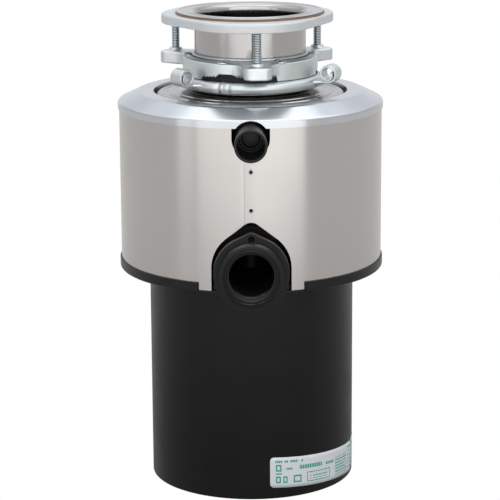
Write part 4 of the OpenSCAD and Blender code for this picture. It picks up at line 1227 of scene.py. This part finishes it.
ring_loop = outline_of(lug_distance, 720, 48, 80)
skirt = circle_like(ring_loop, SKIRT_R)
ramp = skirt_ramp(np.degrees(np.arctan2(ring_loop[:, 0], -ring_loop[:, 1])))
reach = np.clip(np.hypot(*ring_loop.T) - SKIRT_R, 0, 1)
skirt_low = UPPER_LOW - np.maximum(ramp, reach * (UPPER_LOW - LUG_LOW + 1.0))
under_lug = skirt + (inset(ring_loop, 0.6) - skirt) * reach[:, None]
rings = [level(circle_like(ring_loop, SKIRT_R - 2), skirt_low),
         level(circle_like(ring_loop, SKIRT_R - 0.3), skirt_low),
         level(skirt, skirt_low + 0.4),
         level(under_lug, np.maximum(LUG_LOW, skirt_low + 0.6)),
         level(ring_loop, np.maximum(LUG_LOW + 0.8, skirt_low + 1.2))]
rings += rounded_over(ring_loop, 1.8, LUG_TOP, 6)
rings += [level(circle_like(ring_loop, radius), z) for radius, z in (
    (SKIRT_R - 1.2, LUG_TOP + 0.3), (SKIRT_R - 2.2, UPPER_TOP - 0.3), (SKIRT_R - 3.2, UPPER_TOP),
    (47.2, UPPER_TOP), (46.6, UPPER_TOP - 0.8), (43.4, UPPER_TOP - 0.8), (43.4, UPPER_TOP - 2),
    (SKIRT_R - 2, UPPER_TOP - 2))]
collar = [(3.26, LUG_TOP - 1.5), (8.2, LUG_TOP - 1.5), (8.2, LUG_TOP + 0.15, 0.3),
          (5.4, LUG_TOP + 0.5, 0.8), (4.7, 337.4, 0.5), (3.26, 337.4, 0.4)]
dome = [(0.0, UPPER_TOP - 1.2), (4.0, UPPER_TOP - 1.2), (4.0, UPPER_TOP - 0.4), (2.6, UPPER_TOP + 0.9, 1.2),
        (0.0, UPPER_TOP + 1.3)]
blocks = [ring_block(np.array(rings))]
blocks += [ring_block(lathe_at(collar, compass(angle) * LUG_PITCH)) for angle in SCREW_ANGLES]
blocks += [ring_block(lathe_at(dome, compass(angle) * (SKIRT_R - 3.2), 32)) for angle in DOME_ANGLES]
mesh_piece("upper_ring", blocks, "housing", SLOT_OF["upper_mounting_ring"], ["upper_mounting_ring"])

# %% [markdown]
# ## Lower mounting ring
#
# The turning half of the lock is pressed from sheet: a rounded bead runs round it, pinched at one place, and
# three ears are rolled up from it, like a curled tongue of steel. The bead is one closed section carried
# round the circle. Each ear is a spiral strip with thickness, carried along the tangent.

# %% Lower ring
LOCK_Z = 311.7
BEAD_R = 4.6
BEAD_CENTRE = 52.1
EAR_R = 6.9
EAR_LOW = LOCK_Z + 4.8
EAR_CENTRE = 65.8
EAR_LENGTH = 13.0
PINCH_ANGLE = -22.0
BEAD_SHEET = 1.8
FLAT_R = 47.6


def bead_block(steps=288):
    """Section: a flat flange, then a half circle of radius BEAD_R, and back inside it 1.8 mm smaller. The
    pinch adds a bell curve of 1.6 mm to the bead's radius and takes 1.7 mm on each side of it."""
    a = full_turn(steps)
    degrees = (np.degrees(a) - PINCH_ANGLE + 180) % 360 - 180
    pinch = 1.6 * np.exp(-(degrees / 1.6) ** 2) - 1.7 * np.exp(-((np.abs(degrees) - 4.2) / 1.8) ** 2)
    lifted = 0.88 * np.exp(-(degrees / 1.8) ** 2)
    t = np.linspace(-math.pi / 2, math.pi / 2, 15)
    there_and_back = np.concatenate([t, t[::-1]])
    radius = np.repeat([BEAD_R, BEAD_R - BEAD_SHEET], 15)
    r = BEAD_CENTRE + radius * np.cos(there_and_back)
    z = LOCK_Z + BEAD_R + radius * np.sin(there_and_back)
    r = np.concatenate([[FLAT_R], r, [FLAT_R]])[:, None]
    z = np.concatenate([[LOCK_Z], z, [LOCK_Z + BEAD_SHEET]])[:, None]
    swell = np.concatenate([[0], np.cos(there_and_back), [0]])[:, None]
    top = np.concatenate([[0], (1 + np.sin(there_and_back)) / 2, [0]])[:, None]
    return ring_block(polar(r + swell * pinch, a, z + top * lifted))


def open_tube(points):
    """The faces of a grid that wraps round its rows only, with a flat end over the first and last columns."""
    rows, columns = points.shape[:2]
    starts = np.arange(rows) * columns
    faces = grid_faces(rows, columns, wrap_rows=True, wrap_columns=False).tolist()
    return points, faces + [starts.tolist(), (starts[::-1] + columns - 1).tolist()]


def ear_block(angle):
    """Strip path: out from the bead, then a coil of 490 degrees, up and back over. Its radius is EAR_R - 0.9,
    and 3.5 less at the inner end. The strip is 1.8 mm thick, and its sides are slightly rounded."""
    middle = EAR_R - 0.9
    flat = np.linspace(BEAD_CENTRE + 2.0, EAR_CENTRE, 8)
    t = np.linspace(-math.pi / 2, math.radians(400), 72)
    coil = middle - 3.5 * np.clip((t - math.radians(150)) / math.radians(250), 0, 1)
    path_r = np.concatenate([flat[:-1], EAR_CENTRE + coil * np.cos(t)])
    path_z = np.concatenate([np.full(7, EAR_LOW + 0.9), EAR_LOW + EAR_R + coil * np.sin(t)])
    path = np.stack([path_r, path_z], axis=-1)
    along = np.gradient(path, axis=0)
    along /= np.linalg.norm(along, axis=1, keepdims=True)
    normal = np.stack([along[:, 1], -along[:, 0]], axis=-1)
    half = np.array([0.6, 0.9, 0.9, 0.6, -0.6, -0.9, -0.9, -0.6])[:, None, None]
    side = np.array([-0.5, -0.47, 0.47, 0.5, 0.5, 0.47, -0.47, -0.5])[:, None] * EAR_LENGTH
    r, z = np.moveaxis(path + normal * half, -1, 0)
    ux, uy = compass(angle)
    return open_tube(np.stack([r * ux - side * uy, r * uy + side * ux, z], axis=-1))


def ear_foot(angle):
    """The web under an ear: the strip's root widens along the bead. Its outer edge bulges by a cosine of
    9 mm, over 13 degrees each way."""
    sweep = np.radians(np.linspace(-13, 13, 27))
    inner = np.full(27, BEAD_CENTRE - 1.0)
    outer = BEAD_CENTRE + 3.2 + 9.0 * np.cos(sweep / np.radians(13) * math.pi / 2) ** 1.5
    r = np.array([inner + 3, (inner + outer) / 2 + 1, outer - 0.5, outer, outer, outer - 0.5, inner + 3])
    above_low = EAR_LOW + np.array([0.1, 0.6, 1.2, 1.8, 2.6])
    z = np.concatenate([[LOCK_Z + 0.6, LOCK_Z + 2.2], above_low])[:, None]
    return open_tube(polar(r, math.radians(angle) + sweep, z))


blocks = [bead_block()]
for angle in EAR_ANGLES:
    blocks += [ear_block(angle), ear_foot(angle)]
mesh_piece("lower_ring", blocks, "lock_ring", SLOT_OF["lower_mounting_ring"], ["lower_mounting_ring"])

# %% [markdown]
# ## Screws and snap ring
#
# The three mounting screws show their thread all the way. A thread is a radius that depends on height and
# angle together: height minus pitch times the turn, folded into a wave. That one formula makes the
# whole helix, and its last turns shrink into the rod so that both ends close.

# %% Screws
SCREW_R = 3.175
PITCH_MM = 1.27
THREAD_DEPTH = 0.62
SCREW_LOW = 327.8
SCREW_HIGH = 360.1


def screw_points(centre, steps=28):
    """Radius: SCREW_R less a wave of THREAD_DEPTH in (z - pitch * turn) / pitch, faded out over the end
    0.8 mm."""
    rows = int((SCREW_HIGH - SCREW_LOW) / PITCH_MM * 8)
    z = np.linspace(SCREW_LOW, SCREW_HIGH, rows)[:, None]
    a = full_turn(steps)
    phase = (z / PITCH_MM - a / (2 * np.pi)) % 1.0
    wave = np.clip(np.abs(phase * 2 - 1) * 2.2 - 0.85, 0, 1)
    end = np.clip(np.minimum(z - SCREW_LOW, SCREW_HIGH - z) / 0.8, 0, 1)
    points = polar(SCREW_R - THREAD_DEPTH * wave - 0.5 * (1 - end), a, z) + np.array([*centre, 0.0])
    top = np.arange(rows * steps)[-steps:]
    return points, grid_faces(rows, steps).tolist() + [list(range(steps)), top[::-1].tolist()]


for side, angle in zip(("front", "right", "left"), SCREW_ANGLES):
    node = "mounting_screw_" + side
    at = compass(angle) * LUG_PITCH
    screw = mesh_piece("screw_" + side, [screw_points(at)], "screw_" + side, SLOT_OF[node], [node])
    # Painted shade: each point's depth below the thread's crest darkens the zinc in the thread's roots.
    add_painted_shade(screw, lambda x, y, z: (SCREW_R - np.hypot(x - at[0], y - at[1])) / THREAD_DEPTH)

# %% [markdown]
# The snap ring is a flat spring wire with two open ends, seated in the sleeve's groove on top of the
# ring. Its section is a rounded rectangle, carried round all but a few degrees.

# %% Snap ring
snap_corners = [(43.1, 336.05, 0.4), (45.6, 336.05, 0.4), (45.6, 337.85, 0.6), (43.1, 337.85, 0.4)]
snap_section = filleted(snap_corners, 4)
half_gap = math.asin(2.0 / 44.3)
sweep = np.linspace(half_gap, 2 * math.pi - half_gap, 200) + math.pi
snap_block = open_tube(polar(snap_section[:, :1], sweep, snap_section[:, 1:2]))
mesh_piece("snap", [snap_block], "housing", SLOT_OF["snap_ring"], ["snap_ring"])

# %% [markdown]
# ## Rating label
#
# A white film label wraps half of the can near the floor, in two pieces. It carries no words here: rows of
# short teal bars stand where print would be. Each piece is a grid on the cylinder with its corners
# rounded, and its own UV map is in millimetres along it and up it, so the bars can be laid out in label
# units.

# %% Label
LABEL_R = 80.16
LABEL_HEIGHT = 24.5
LABEL_CORNER = 3.0


def label_piece(name, from_degrees, length, low, slope, first_u, nodes=()):
    """A film round the can. Near each end the corner's circle takes CORNER - sqrt(CORNER ** 2 - (CORNER - d)
    ** 2) off its height, d being the distance from the end. It rises by slope for each mm of its length."""
    corner = LABEL_CORNER * (1 - np.cos(np.linspace(0, math.pi / 2, 8)))
    middle = np.linspace(LABEL_CORNER, length - LABEL_CORNER, int(length))
    u = np.unique(np.concatenate([corner, length - corner, middle]))
    from_end = np.minimum(np.minimum(u, length - u), LABEL_CORNER)
    margin = LABEL_CORNER - np.sqrt(LABEL_CORNER ** 2 - (LABEL_CORNER - from_end) ** 2)
    v = np.linspace(0, 1, 9)[:, None]
    height = margin + v * (LABEL_HEIGHT - 2 * margin)
    start = math.radians(from_degrees)
    points = polar(LABEL_R, start + u / LABEL_R, low + slope * u + height)
    faces = grid_faces(9, len(u), wrap_columns=False)[:, ::-1]
    piece = mesh_piece(name, [(points, faces)], "housing", SLOT_OF["rating_label"], nodes)
    x, y, z = axes_of(piece)
    along = (np.arctan2(x, -y) - start) * LABEL_R
    in_mm = np.stack([along + first_u, z - low - slope * along], axis=-1)
    loop_vertex = np.empty(len(piece.data.loops), int)
    piece.data.loops.foreach_get("vertex_index", loop_vertex)
    piece.data.uv_layers.new(name="label_mm").data.foreach_set("uv", in_mm[loop_vertex].ravel())
    thickened(piece, 0.12)
    print(name, length, "by", LABEL_HEIGHT, "mm")


label_piece("label", 9.7, 93.5, 9.3, -0.062, 0.0, ["rating_label"])
label_piece("label_side", 77.6, 60.0, 4.6, -0.01, 90.0)
